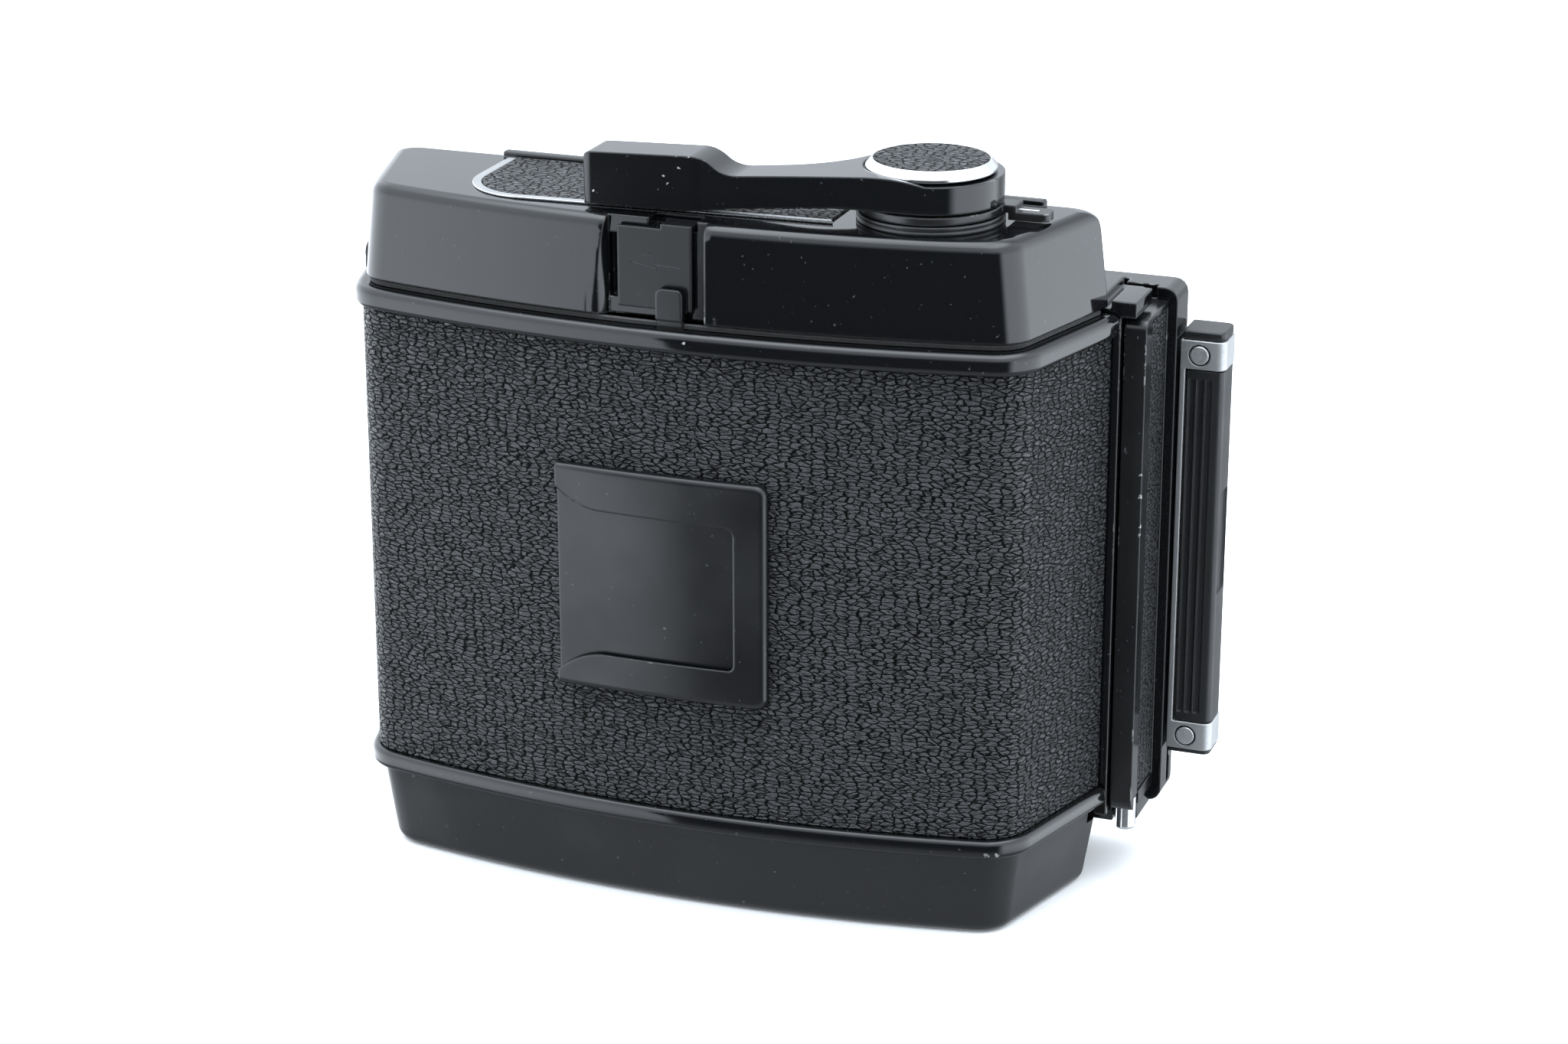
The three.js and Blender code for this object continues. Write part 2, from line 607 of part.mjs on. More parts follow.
function baseCasting() {
  const offset = -0.6;
  const front = HINGE.x + HINGE_NOSE;
  const body = roundedShellBlock(offset, front, [0, BASE_TOP], 1.9, false);
  const lip = prism(shellOutline(-0.1, COVER_FRONT), 'z', BASE_TOP - 1.5, BASE_TOP);
  const outer = join(toSolid(narrow(body, BASE_TOP, 0, 2, 2)), lip);
  const above = [new THREE.Vector2(COVER_FRONT, BASE_TOP), new THREE.Vector2(-45, BASE_TOP)];
  const middleView = prism([
    new THREE.Vector2(-45, 0),
    ...arc(HINGE.x, HINGE.y, HINGE_NOSE, -Math.PI / 2, Math.PI / 2, 12),
    new THREE.Vector2(COVER_FRONT, HINGE.y + HINGE_NOSE),
    ...above,
  ], 'x', -CHEEK_X, CHEEK_X);
  // The two ends reach up under the main frame's heels, and hide the hinge pin.
  const endView = [
    new THREE.Vector2(-45, 0),
    ...arc(0.1, 2.7, 2.7, -Math.PI / 2, 0, 8),
    new THREE.Vector2(2.6, 10.2),
    new THREE.Vector2(COVER_FRONT, 10.2),
    ...above,
  ];
  const ends = [[-80, -CHEEK_X], [CHEEK_X, 80]].map((x) => prism(endView, 'x', ...x));
  const hollow = prism(shellOutline(offset - 4.4, -5.5), 'z', 2.2, 30);
  const pinBore = rod('x', 1.5, HINGE.toArray(), -50.2, 50.2);
  const slots = [-HINGE_LUG_X, HINGE_LUG_X].map((x) => (
    block([x - 4, x + 4], [HINGE.x - HINGE_NOSE + 0.6, 10], [-5, 20])
  ));
  return cut(outer.intersect(join(middleView, ...ends)), hollow, pinBore, ...slots);
}

place(cover, 'base_casting', baseCasting(), enamel());
place(cover, 'hinge_pin', rod('x', 1.2, HINGE.toArray(), -50, 50, 16), satinSteel());
const sealZ = [UPPER_BEAD[1] + 0.1, UPPER_BEAD[1] + 0.6];
place(cover, 'light_seal', shellBand(-1.2, -2.1, -1, sealZ), matteBlack());

// ---- Latch slide behind its opening ----

const latch = bodyGroup();

function latchPlate() {
  const face = block(LATCH_X, [-28, -27.2], [92.6, 104.4]);
  const leaf = block([-1, LATCH_X[1]], [-28, -24.2], [104.3, 105.1]);
  const shank = block([-2.6, 1.8], [-27.5, -21.5], [97.3, 100.1]);
  return join(face, leaf, shank);
}

function coil(from, to, radius, wire, turns, at) {
  class Helix extends THREE.Curve {
    getPoint(share, target = new THREE.Vector3()) {
      const angle = 2 * Math.PI * turns * share;
      const y = at[0] + radius * Math.cos(angle);
      const z = at[1] + radius * Math.sin(angle);
      return target.set(from + (to - from) * share, y, z);
    }
  }
  const section = new THREE.Shape(arc(0, 0, wire, 0, 2 * Math.PI * 5 / 6, 5));
  const path = new Helix();
  return toSolid(new THREE.ExtrudeGeometry(section, { steps: turns * 8, extrudePath: path }));
}

place(latch, 'latch_plate', latchPlate(), enamel());
place(latch, 'latch_spring', coil(2.2, 8.2, 1.3, 0.22, 6, [-22.9, 98.7]), satinSteel());

// ---- Advance lever with its knob, shaft and gear ----

const lever = bodyGroup();

// Plan of the lever: straight rear edge, hub circle, and an arm that widens into the hub.
function leverPlan() {
  const rearY = LEVER_AXIS.y - HUB_RADIUS - 1.6;
  const shape = new THREE.Shape();
  shape.moveTo(-13.2, rearY);
  shape.lineTo(2.4, rearY + 0.4);
  shape.quadraticCurveTo(3.6, rearY + 0.45, 4, rearY + 0.9);
  shape.lineTo(LEVER_AXIS.x, rearY + 1.6);
  const hubArc = arc(LEVER_AXIS.x, LEVER_AXIS.y, HUB_RADIUS, -Math.PI / 2, 0.9 * Math.PI, 22);
  hubArc.slice(1).forEach((point) => shape.lineTo(point.x, point.y));
  shape.quadraticCurveTo(21, -15.8, 14, -16.8);
  shape.lineTo(6, -17.6);
  shape.lineTo(-13.2, -18);
  shape.quadraticCurveTo(-14.2, -18, -14.2, -19);
  shape.lineTo(-14.2, rearY + 1);
  shape.quadraticCurveTo(-14.2, rearY, -13.2, rearY);
  return new THREE.Shape(shape.getPoints(6));
}

// Side view of the lever: tall finger block, low arm, hub.
function leverSide() {
  const shape = new THREE.Shape();
  shape.moveTo(-14.5, 106.25);
  shape.lineTo(1, 106.3);
  shape.quadraticCurveTo(10, 107.3, 24, HUB_Z[0]);
  shape.lineTo(48, HUB_Z[0]);
  shape.lineTo(48, HUB_Z[1]);
  shape.lineTo(36.5, HUB_Z[1]);
  shape.quadraticCurveTo(33, 113.6, 28, 113.4);
  shape.quadraticCurveTo(17, 112.7, 9, 112);
  shape.quadraticCurveTo(6.8, 111.9, 5.3, 113.2);
  shape.quadraticCurveTo(3.8, 114.4, 2, 114.4);
  shape.lineTo(-13.4, 113.9);
  shape.quadraticCurveTo(-14.5, 113.9, -14.5, 112.8);
  return new THREE.Shape(shape.getPoints(6));
}

function advanceLever() {
  const body = prism(leverPlan(), 'z', 100, 120).intersect(prism(leverSide(), 'y', -40, 20));
  const ringSeat = rod('z', KNOB_RADIUS + 0.4, leverAt, HUB_Z[1], 120, 40);
  return cut(body, ringSeat, rod('z', 2.9, leverAt, 100, 111.8));
}

const KNOB_RADIUS = 9.35;
const DISC_RADIUS = 8.15;

place(lever, 'advance_lever', advanceLever(), enamel());

const ringProfile = [
  [0, 112.75], [KNOB_RADIUS - 0.5, 112.75], [KNOB_RADIUS, 113.1], [KNOB_RADIUS, 113.5],
  [DISC_RADIUS + 0.25, 114.5], [DISC_RADIUS + 0.15, 114.05], [0, 114.05],
];
place(lever, 'knob_ring', turned(ringProfile, LEVER_AXIS, 48), chrome());
const discProfile = [[0, 114.1], [DISC_RADIUS, 114.1], [DISC_RADIUS, 114.45], [0, 114.55]];
place(lever, 'knob_covering', turned(discProfile, LEVER_AXIS, 48), leatherette());

function leverShaft() {
  const module = 2 * LEVER_AXIS.distanceTo(IDLER_AXIS) / (LEVER_TEETH[0] + LEVER_TEETH[1]);
  const gear = prism(gearOutline(LEVER_TEETH[0], module, LEVER_AXIS, Math.PI), 'z', ...UPPER_GEARS);
  return join(gear, rod('z', 2.6, leverAt, UPPER_GEARS[0] - 0.3, 111.5));
}

place(lever, 'lever_shaft', leverShaft(), brass());

// Flat spiral spring that brings the lever back.
function returnSpring() {
  const turns = 3;
  const steps = 42;
  const spiral = (extra) => Array.from({ length: steps + 1 }, (_, i) => {
    const angle = 2 * Math.PI * turns * i / steps;
    const radius = 3.5 + 4 * i / steps + extra;
    return new THREE.Vector2(
      LEVER_AXIS.x + radius * Math.cos(angle),
      LEVER_AXIS.y + radius * Math.sin(angle),
    );
  });
  return prism([...spiral(0.45), ...spiral(0).reverse()], 'z', 101.9, 103);
}

place(lever, 'return_spring', returnSpring(), satinSteel());

// ---- Release ring under the lever, with its thumb tab ----

const release = bodyGroup();

function releaseRing() {
  const ring = turned([[3.4, 107.1], [10.3, 107.1], [10.3, 108.2], [3.4, 108.2], [3.4, 107.1]], LEVER_AXIS);
  const tab = new THREE.Shape();
  tab.moveTo(45.3, -12.2);
  tab.lineTo(50, -12.1);
  tab.quadraticCurveTo(51.2, -12, 51.2, -10.9);
  tab.lineTo(51.2, -9.9);
  tab.quadraticCurveTo(51.2, -8.8, 50, -8.7);
  tab.lineTo(45.3, -8.6);
  return join(
    ring,
    prism(new THREE.Shape(tab.getPoints(4)), 'z', 106.1, 107.3),
    block([42, 46.4], [-12.2, -8.6], [107.1, 108.2]),
  );
}

place(release, 'release_ring', releaseRing(), enamel());

// ---- Idler, take-up drive and spool, counter ----

const lowerModule = 2 * SPOOL_AXIS.distanceTo(IDLER_AXIS) / (SPOOL_TEETH[0] + SPOOL_TEETH[1]);
const upperModule = 2 * LEVER_AXIS.distanceTo(IDLER_AXIS) / (LEVER_TEETH[0] + LEVER_TEETH[1]);
const towardSpool = SPOOL_AXIS.clone().sub(IDLER_AXIS).angle();

function idlerGear() {
  const pinionGap = Math.PI / LEVER_TEETH[1];
  const wheelGap = towardSpool + Math.PI / SPOOL_TEETH[1];
  const pinion = gearOutline(LEVER_TEETH[1], upperModule, IDLER_AXIS, pinionGap);
  const wheel = gearOutline(SPOOL_TEETH[1], lowerModule, IDLER_AXIS, wheelGap);
  const gears = join(
    prism(pinion, 'z', ...UPPER_GEARS),
    prism(wheel, 'z', ...LOWER_GEARS),
    rod('z', 3.6, idlerAt, LOWER_GEARS[0] - 0.5, UPPER_GEARS[1] + 0.3),
  );
  return cut(gears, rod('z', 1.8, idlerAt, 90, 110, 16));
}

const idler = bodyGroup();
place(idler, 'idler_gear', idlerGear(), brass());

function takeupDrive() {
  const outline = gearOutline(SPOOL_TEETH[0], lowerModule, SPOOL_AXIS, towardSpool + Math.PI);
  const key = block([spoolAt[0] - 2.6, spoolAt[0] + 2.6], [spoolAt[1] - 0.5, spoolAt[1] + 0.5], [78.5, 81]);
  return join(
    prism(outline, 'z', ...LOWER_GEARS),
    rod('z', 2.3, spoolAt, 80.5, UPPER_GEARS[0] - 0.8),
    key,
  );
}

function spool() {
  const [low, high] = SPOOL_Z;
  const core = 5.6;
  const bore = 3;
  const flange = 1;
  const profile = [
    [bore, low], [FLANGE_RADIUS, low], [FLANGE_RADIUS, low + flange], [core, low + flange],
    [core, high - flange], [FLANGE_RADIUS, high - flange], [FLANGE_RADIUS, high], [bore, high], [bore, low],
  ];
  return turned(profile, SPOOL_AXIS, 28);
}

const takeup = bodyGroup();
place(takeup, 'takeup_drive', takeupDrive(), brass());
place(takeup, 'takeup_spool', spool(), matteBlack());

const counter = bodyGroup();
const dialProfile = [[0, 99.4], [1.4, 99.4], [1.4, 100.6], [8.2, 100.6], [8.2, 101.4], [0, 101.4]];
place(counter, 'counter_dial', turned(dialProfile, COUNTER_AXIS, 36), paleDial());
place(chassis, 'counter_post', rod('z', 1.2, COUNTER_AXIS.toArray(), DECK[1] + 0.05, 99.1, 16), satinSteel());

// ---- Sprung studs, rollers and pressure plate of the film path ----

function stud(side, upper) {
  const at = new THREE.Vector2(side * SPOOL_AXIS.x, SPOOL_AXIS.y);
  if (upper) {
    return turned([[0, 79.6], [2, 79.6], [2, 86.4], [3.2, 86.4], [3.2, 87.4], [0, 87.4]], at, 20);
  }
  return turned([[0, 13.2], [3.2, 13.2], [3.2, 14.2], [2, 14.2], [2, 20.4], [0, 20.4]], at, 20);
}

const takeupStud = bodyGroup();
place(takeupStud, 'takeup_stud', stud(1, false), satinSteel());
const supplyStud = bodyGroup();
place(supplyStud, 'supply_stud', stud(-1, false), satinSteel());
place(chassis, 'supply_pivot', stud(-1, true), satinSteel());

for (const [side, label] of [[1, 'right'], [-1, 'left']]) {
  const at = new THREE.Vector2(side * ROLLER_AT[0], ROLLER_AT[1]);
  const profile = [
    [0, 14.9], [1.2, 14.9], [1.2, 16.8], [ROLLER_RADIUS, 16.8], [ROLLER_RADIUS, 83.7],
    [1.2, 83.7], [1.2, 85.6], [0, 85.6],
  ];
  place(bodyGroup(), `film_roller_${label}`, turned(profile, at, 20), satinSteel());
}

const pressure = bodyGroup();
const pressureOutline = roundedRectangle([-40, 40], [AXIS_Z - 31.6, AXIS_Z + 31.6], 2, 3);
place(pressure, 'pressure_plate', prism(pressureOutline, 'y', 8.2, 9.2), satinSteel());

// Bowed leaf behind the pressure plate.
function leafSpring(z) {
  const bow = (extra) => Array.from({ length: 13 }, (_, i) => {
    const share = i / 12;
    return new THREE.Vector2(-15 + 30 * share, 7.5 - 5.4 * Math.sin(Math.PI * share) + extra);
  });
  return prism([...bow(0.35), ...bow(0).reverse()], 'z', z - 3, z + 3);
}

place(pressure, 'plate_spring_upper', leafSpring(AXIS_Z + 18), satinSteel());
place(pressure, 'plate_spring_lower', leafSpring(AXIS_Z - 18), satinSteel());

// ---- Lock pins in the front plate ----

LOCK_PIN_AT.forEach((at, i) => {
  const geometry = new THREE.LatheGeometry([
    new THREE.Vector2(0, 15.8), new THREE.Vector2(1, 15.8), new THREE.Vector2(1, 20.9),
    new THREE.Vector2(0.6, 21.5), new THREE.Vector2(0, 21.7),
  ], 16);
  geometry.translate(at[0], 0, at[1]);
  place(bodyGroup(), `lock_pin_${i + 1}`, toSolid(geometry), satinSteel());
});

// ---- Dark slide ----

const slide = bodyGroup();
const handleY = [SLIDE_Y - HANDLE_HALF_DEPTH, SLIDE_Y + HANDLE_HALF_DEPTH];
const handleZ = [AXIS_Z + 0.3 - HANDLE_HALF_HEIGHT, AXIS_Z + 0.3 + HANDLE_HALF_HEIGHT];
const gripZ = [handleZ[0] + BAND_HEIGHT, handleZ[1] - BAND_HEIGHT];
const RIVET_X = 66.8;
const rivetZ = [handleZ[0] + BAND_HEIGHT / 2, handleZ[1] - BAND_HEIGHT / 2];
const rivetHoles = rivetZ.map((z) => rod('y', 1.65, [RIVET_X, z], 10, 30));
const sheetZ = [AXIS_Z - SHEET_HALF_HEIGHT, AXIS_Z + SHEET_HALF_HEIGHT];
const sheetY = [SLIDE_Y - SHEET_THICK / 2, SLIDE_Y + SHEET_THICK / 2];

// Section of the handle: square towards the plate, rounded at its outer edge.
function handleSection(x, y, radius) {
  return [
    new THREE.Vector2(x[0], y[1]),
    new THREE.Vector2(x[0], y[0]),
    ...arc(x[1] - radius, y[0] + radius, radius, -Math.PI / 2, 0, 5),
    ...arc(x[1] - radius, y[1] - radius, radius, 0, Math.PI / 2, 5),
  ];
}

function handleCore() {
  const section = handleSection(HANDLE_X, handleY, 1.4);
  const bands = [[handleZ[0], gripZ[0]], [gripZ[1], handleZ[1]]].map((z) => prism(section, 'z', ...z));
  const edge = block([HANDLE_X[0], HANDLE_X[0] + 0.8], handleY, [gripZ[0] - 1, gripZ[1] + 1]);
  const web = block([HANDLE_X[0], 69.4], [SLIDE_Y - 1, SLIDE_Y + 1], [gripZ[0] - 1, gripZ[1] + 1]);
  const pocketZ = [sheetZ[0] - GAP, sheetZ[1] + GAP];
  const sheetPocket = block([60, 66.2], [sheetY[0] - GAP, sheetY[1] + GAP], pocketZ);
  return cut(join(edge, web, ...bands), sheetPocket, ...rivetHoles);
}

function slideSheet() {
  return cut(block([SHEET_END_X, 66], sheetY, sheetZ), ...rivetHoles);
}

function handleGrip() {
  const x = [HANDLE_X[0] + 1.1, HANDLE_X[1] - 0.15];
  const section = handleSection(x, [handleY[0] + 0.2, handleY[1] - 0.2], 1.3);
  const z = [gripZ[0] + 0.2, gripZ[1] - 0.2];
  const webPocket = block([60, 69.7], [SLIDE_Y - 1.3, SLIDE_Y + 1.3], [0, 120]);
  const grooves = [0, 1, 2].flatMap((i) => {
    const start = HANDLE_X[0] + 1.4 + 1.25 * i;
    return [handleY[0], handleY[1]].map((y) => (
      block([start, start + 0.9], [y - 0.6, y + 0.6], [z[0] + 1.4, z[1] - 1.4])
    ));
  });
  const label = block([HANDLE_X[1] - 0.55, 75], [SLIDE_Y - 2.1, SLIDE_Y + 2.1], [AXIS_Z - 7, AXIS_Z + 9]);
  return cut(prism(section, 'z', ...z), webPocket, label, ...grooves);
}

function handleCap(z) {
  const x = [HANDLE_X[0] + 0.2, HANDLE_X[1] - 0.2];
  return prism(handleSection(x, [handleY[0] + 0.3, handleY[1] - 0.3], 1.2), 'z', ...z);
}

place(slide, 'slide_sheet', slideSheet(), satinSteel());
place(slide, 'handle_core', handleCore(), satinSteel());
place(slide, 'handle_grip', handleGrip(), matteBlack());
place(slide, 'handle_cap_upper', handleCap([handleZ[1] + 0.05, handleZ[1] + 1.4]), matteBlack());
place(slide, 'handle_cap_lower', handleCap([handleZ[0] - 0.8, handleZ[0] - 0.05]), matteBlack());
rivetZ.forEach((z, i) => {
  const rivet = rod('y', 1.4, [RIVET_X, z], handleY[0] - 0.15, handleY[1] + 0.15, 24);
  place(slide, `handle_rivet_${i + 1}`, rivet, satinSteel());
});

export default holder;
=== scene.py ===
import math

import bmesh
import bpy
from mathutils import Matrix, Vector


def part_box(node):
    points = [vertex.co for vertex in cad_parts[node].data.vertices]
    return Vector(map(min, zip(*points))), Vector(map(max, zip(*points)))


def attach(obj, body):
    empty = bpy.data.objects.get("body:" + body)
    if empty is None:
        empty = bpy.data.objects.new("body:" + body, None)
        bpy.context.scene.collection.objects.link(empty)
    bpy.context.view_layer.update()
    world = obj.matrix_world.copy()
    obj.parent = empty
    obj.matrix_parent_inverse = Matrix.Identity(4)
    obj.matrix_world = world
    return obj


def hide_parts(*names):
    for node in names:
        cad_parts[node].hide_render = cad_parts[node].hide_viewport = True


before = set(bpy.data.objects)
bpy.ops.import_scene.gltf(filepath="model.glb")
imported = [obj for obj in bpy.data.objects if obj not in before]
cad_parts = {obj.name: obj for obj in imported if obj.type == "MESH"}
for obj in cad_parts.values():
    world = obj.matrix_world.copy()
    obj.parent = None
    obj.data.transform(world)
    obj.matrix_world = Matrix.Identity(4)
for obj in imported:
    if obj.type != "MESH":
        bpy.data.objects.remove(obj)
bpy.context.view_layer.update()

# All lengths below are millimetres, measured from the parting plane of the two castings.
MM = 0.001
PARTING_Y = 12.0

# Shell outline.
HALF_WIDTH = 57.6
DEPTH = 29.7
REAR_RADIUS = 220.0
CORNER_RADIUS = 6.7
DRAFT = math.radians(15.7)
REAR_CENTRE = REAR_RADIUS - DEPTH

# Heights.
BASE_TOP = 13.9
LOWER_BEAD = (14.2, 16.4)
BEAD_DROP = 0.7             # how far the lower bead rolls down over the base
UPPER_BEAD = (86.9, 90.2)
CAP = (91.1, 105.6)
CAP_OFFSET = -0.7
CAP_FRONT = 2.3
COVER_FRONT = -0.2
HINGE = (0.9, 4.2)
CHEEK_X = 50.4

LEVER_AXIS = (34.2, -13.0)
HUB_RADIUS = 10.4
HUB_TOP = 112.6
KNOB_RADIUS = 9.35
DISC_RADIUS = 8.15
RECESS_X = (-9.7, 5.8)
WINDOW_AT = (8.2, -7.0)


# ---- Mesh helpers ----

def place(x, y, z):
    return Vector((x, y + PARTING_Y, z)) * MM


def arc(x, y, radius, start, end, steps):
    return [
        (x + radius * math.cos(start + (end - start) * i / steps),
         y + radius * math.sin(start + (end - start) * i / steps))
        for i in range(steps + 1)
    ]


def curve(a, control, b, steps):
    """Points of a quadratic curve after its first one."""
    points = []
    for i in range(1, steps + 1):
        t = i / steps
        points.append(tuple(
            (1 - t) ** 2 * a[k] + 2 * t * (1 - t) * control[k] + t * t * b[k] for k in (0, 1)
        ))
    return points


def make(name, verts, faces):
    mesh = bpy.data.meshes.new(name)
    mesh.from_pydata(verts, [], faces)
    obj = bpy.data.objects.new(name, mesh)
    bpy.context.scene.collection.objects.link(obj)
    tidy_faces(obj)
    return obj


def tidy_faces(obj):
    bm = bmesh.new()
    bm.from_mesh(obj.data)
    bmesh.ops.remove_doubles(bm, verts=bm.verts, dist=1e-7)
    bmesh.ops.recalc_face_normals(bm, faces=bm.faces)
    bm.to_mesh(obj.data)
    bm.free()


def loft(name, rings, capped=True, closed=True):
    """Rings of equal length joined into one body."""
    count = len(rings[0])
    verts = [v for ring in rings for v in ring]
    faces = []
    for r in range(len(rings) - 1):
        for i in range(count if closed else count - 1):
            j = (i + 1) % count
            a = r * count
            b = a + count
            faces.append((a + i, a + j, b + j, b + i))
    if capped:
        faces.append(tuple(range(count)))
        faces.append(tuple(range((len(rings) - 1) * count, len(rings) * count)))
    return make(name, verts, faces)


def prism(name, points, axis, low, high):
    """An outline (YZ, XZ or XY) extruded along x, y or z."""
    def put(p, h):
        if axis == "x":
            return place(h, p[0], p[1])
        if axis == "y":
            return place(p[0], h, p[1])
        return place(p[0], p[1], h)
    return loft(name, [[put(p, h) for p in points] for h in (low, high)])


def box(name, x, y, z):
    return prism(name, [(x[0], y[0]), (x[1], y[0]), (x[1], y[1]), (x[0], y[1])], "z", *z)


def lathe(name, profile, at, steps=96):
    """A closed profile of (radius, height) turned about the vertical through at."""
    rings = []
    for i in range(steps):
        angle = 2 * math.pi * i / steps
        rings.append([
            place(at[0] + r * math.cos(angle), at[1] + r * math.sin(angle), z) for r, z in profile
        ])
    rings.append(rings[0])
    return loft(name, rings, capped=False)


def rounded_profile(points, radius, steps=4):
    """The same closed profile with every corner rounded."""
    out = []
    count = len(points)
    for i, p in enumerate(points):
        before = Vector(points[i - 1])
        after = Vector(points[(i + 1) % count])
        corner = Vector(p)
        reach = min(radius, 0.45 * (before - corner).length, 0.45 * (after - corner).length)
        a = corner + (before - corner).normalized() * reach
        b = corner + (after - corner).normalized() * reach
        out.append(tuple(a))
        out.extend(curve(tuple(a), tuple(corner), tuple(b), steps))
    return out


def evaluated(obj):
    """Applies the object's modifiers."""
    graph = bpy.context.evaluated_depsgraph_get()
    mesh = bpy.data.meshes.new_from_object(obj.evaluated_get(graph))
    obj.modifiers.clear()
    old = obj.data
    obj.data = mesh
    bpy.data.meshes.remove(old)
    return obj


def combine(obj, operation, *others):
    for other in others:
        modifier = obj.modifiers.new("combine", "BOOLEAN")
        modifier.operation = operation
        modifier.solver = "EXACT"
        modifier.object = other
        evaluated(obj)
        bpy.data.objects.remove(other)
    return obj


def cut(obj, *others):
    return combine(obj, "DIFFERENCE", *others)


def soften(obj, width, segments=3, angle=30.0):
    """Rounds the sharp edges and shades the body smooth."""
    if width:
        bevel = obj.modifiers.new("edges", "BEVEL")
        bevel.width = width * MM
        bevel.segments = segments
        bevel.limit_method = "ANGLE"
        bevel.angle_limit = math.radians(angle)
        bevel.miter_outer = "MITER_ARC"
        evaluated(obj)
    obj.data.polygons.foreach_set("use_smooth", [True] * len(obj.data.polygons))
    obj.data.set_sharp_from_angle(angle=math.radians(40))
    weighted = obj.modifiers.new("normals", "WEIGHTED_NORMAL")
    weighted.keep_sharp = True
    weighted.weight = 80
    return evaluated(obj)


def refine(node, width, segments=2, angle=30.0):
    """A copy of a CAD node with clean faces and rounded edges."""
    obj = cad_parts[node].copy()
    obj.data = obj.data.copy()
    obj.name = node + "_fine"
    obj.parent = None
    bpy.context.scene.collection.objects.link(obj)
    for key in list(obj.keys()):
        del obj[key]
    bm = bmesh.new()
    bm.from_mesh(obj.data)
    bmesh.ops.remove_doubles(bm, verts=bm.verts, dist=2e-6)
    bmesh.ops.dissolve_limit(
        bm, angle_limit=math.radians(1.0), verts=bm.verts, edges=bm.edges, delimit=set(),
    )
    bm.to_mesh(obj.data)
    bm.free()
    return soften(obj, width, segments, angle)


def finish_piece(obj, body, material, slot, *replaced):
    obj.data.materials.clear()
    obj.data.materials.append(material)
    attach(obj, body)
    if replaced:
        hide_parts(*replaced)
    return obj


# ---- Shell outline ----

def corner_centre():
    outward = Vector((math.cos(DRAFT), -math.sin(DRAFT)))
    rearward = Vector((-math.sin(DRAFT), -math.cos(DRAFT)))
    start = Vector((HALF_WIDTH, 0)) - outward * CORNER_RADIUS
    offset = start - Vector((0, REAR_CENTRE))
    along = offset.dot(rearward)
    reach = (REAR_RADIUS - CORNER_RADIUS) ** 2 - offset.length_squared
    return start + rearward * (math.sqrt(along * along + reach) - along)


CORNER = corner_centre()
CORNER_TURN = math.atan2(CORNER.y - REAR_CENTRE, CORNER.x)


def rear_half(offset, corner_steps=14, rear_steps=26):
    """From the side's end round the rear corner to the middle of the rear face."""
    return (
        arc(CORNER.x, CORNER.y, CORNER_RADIUS + offset, -DRAFT, CORNER_TURN, corner_steps)
        + arc(0, REAR_CENTRE, REAR_RADIUS + offset, CORNER_TURN, -math.pi / 2, rear_steps)[1:]
    )


def front_x(offset, y=0.0):
    return HALF_WIDTH + offset / math.cos(DRAFT) + min(0.0, y) * math.tan(DRAFT)


def mirrored(right):
    return right + [(-x, y) for x, y in reversed(right[:-1])]


def open_outline(offset, front_y=COVER_FRONT, side_steps=6):
    """U-shaped path from the right front end to the left one."""
    rear = rear_half(offset)
    start = (front_x(offset, front_y), front_y)
    side = [
        tuple(start[k] + (rear[0][k] - start[k]) * i / side_steps for k in (0, 1))
        for i in range(side_steps)
    ]
    return mirrored(side + rear)


def closed_outline(offset, front_y, radius):
    """Whole outline with rounded front corners."""
    x = front_x(offset, front_y - radius)
    front = arc(x - radius, front_y - radius, radius, math.pi / 2, 0, 8)
    return mirrored(front + rear_half(offset))


def rear_y(x, offset=0.0):
    return REAR_CENTRE - math.sqrt((REAR_RADIUS + offset) ** 2 - x * x)


def swept(name, profile, grain=False):
    """A closed profile of (offset, height) carried round the shell."""
    paths = [open_outline(offset) for offset, _ in profile]
    rings = [
        [place(paths[j][i][0], paths[j][i][1], profile[j][1]) for j in range(len(profile))]
        for i in range(len(paths[0]))
    ]
    obj = loft(name, rings)
    if grain:
        unroll(obj)
    return obj


def unroll(obj):
    """Grain coordinates in millimetres: along the shell, and up."""
    outline = open_outline(0.0)
    lengths = [0.0]
    for a, b in zip(outline, outline[1:]):
        lengths.append(lengths[-1] + math.dist(a, b))
    middle = lengths[-1] / 2

    def along(x, y):
        best = min(range(len(outline) - 1), key=lambda i: segment_distance(x, y, i)[0])
        return lengths[best] + segment_distance(x, y, best)[1] - middle

    def segment_distance(x, y, i):
        ax, ay = outline[i]
        bx, by = outline[i + 1]
        dx, dy = bx - ax, by - ay
        t = max(0.0, min(1.0, ((x - ax) * dx + (y - ay) * dy) / (dx * dx + dy * dy)))
        return math.hypot(x - ax - t * dx, y - ay - t * dy), t * math.hypot(dx, dy)

    layer = obj.data.uv_layers.new(name="grain")
    known = {}
    for loop in obj.data.loops:
        index = loop.vertex_index
        if index not in known:
            co = obj.data.vertices[index].co / MM
            known[index] = (along(co.x, co.y - PARTING_Y), co.z)
        layer.data[loop.index].uv = known[index]


def flat_grain(obj, first, second):
    """Grain coordinates in millimetres from two of the three axes."""
    layer = obj.data.uv_layers.new(name="grain")
    for loop in obj.data.loops:
        co = obj.data.vertices[loop.vertex_index].co / MM
        layer.data[loop.index].uv = (co[first], co[second])


def fillet(height, radius):
    """Inset of a rounded edge at a height above its start."""
    if height <= 0:
        return 0.0
    height = min(height, radius)
    return radius - math.sqrt(radius * radius - height * height)


def narrowed(points, share, inset_x, inset_y):
    scale_x = 1 - inset_x * share / HALF_WIDTH
    scale_y = 1 - inset_y * share / 17
    return [(x * scale_x, -12 + (y + 12) * scale_y) for x, y in points]


# ---- Materials ----

RAMP_SOCKETS = ("From Min", "From Max", "To Min", "To Max")


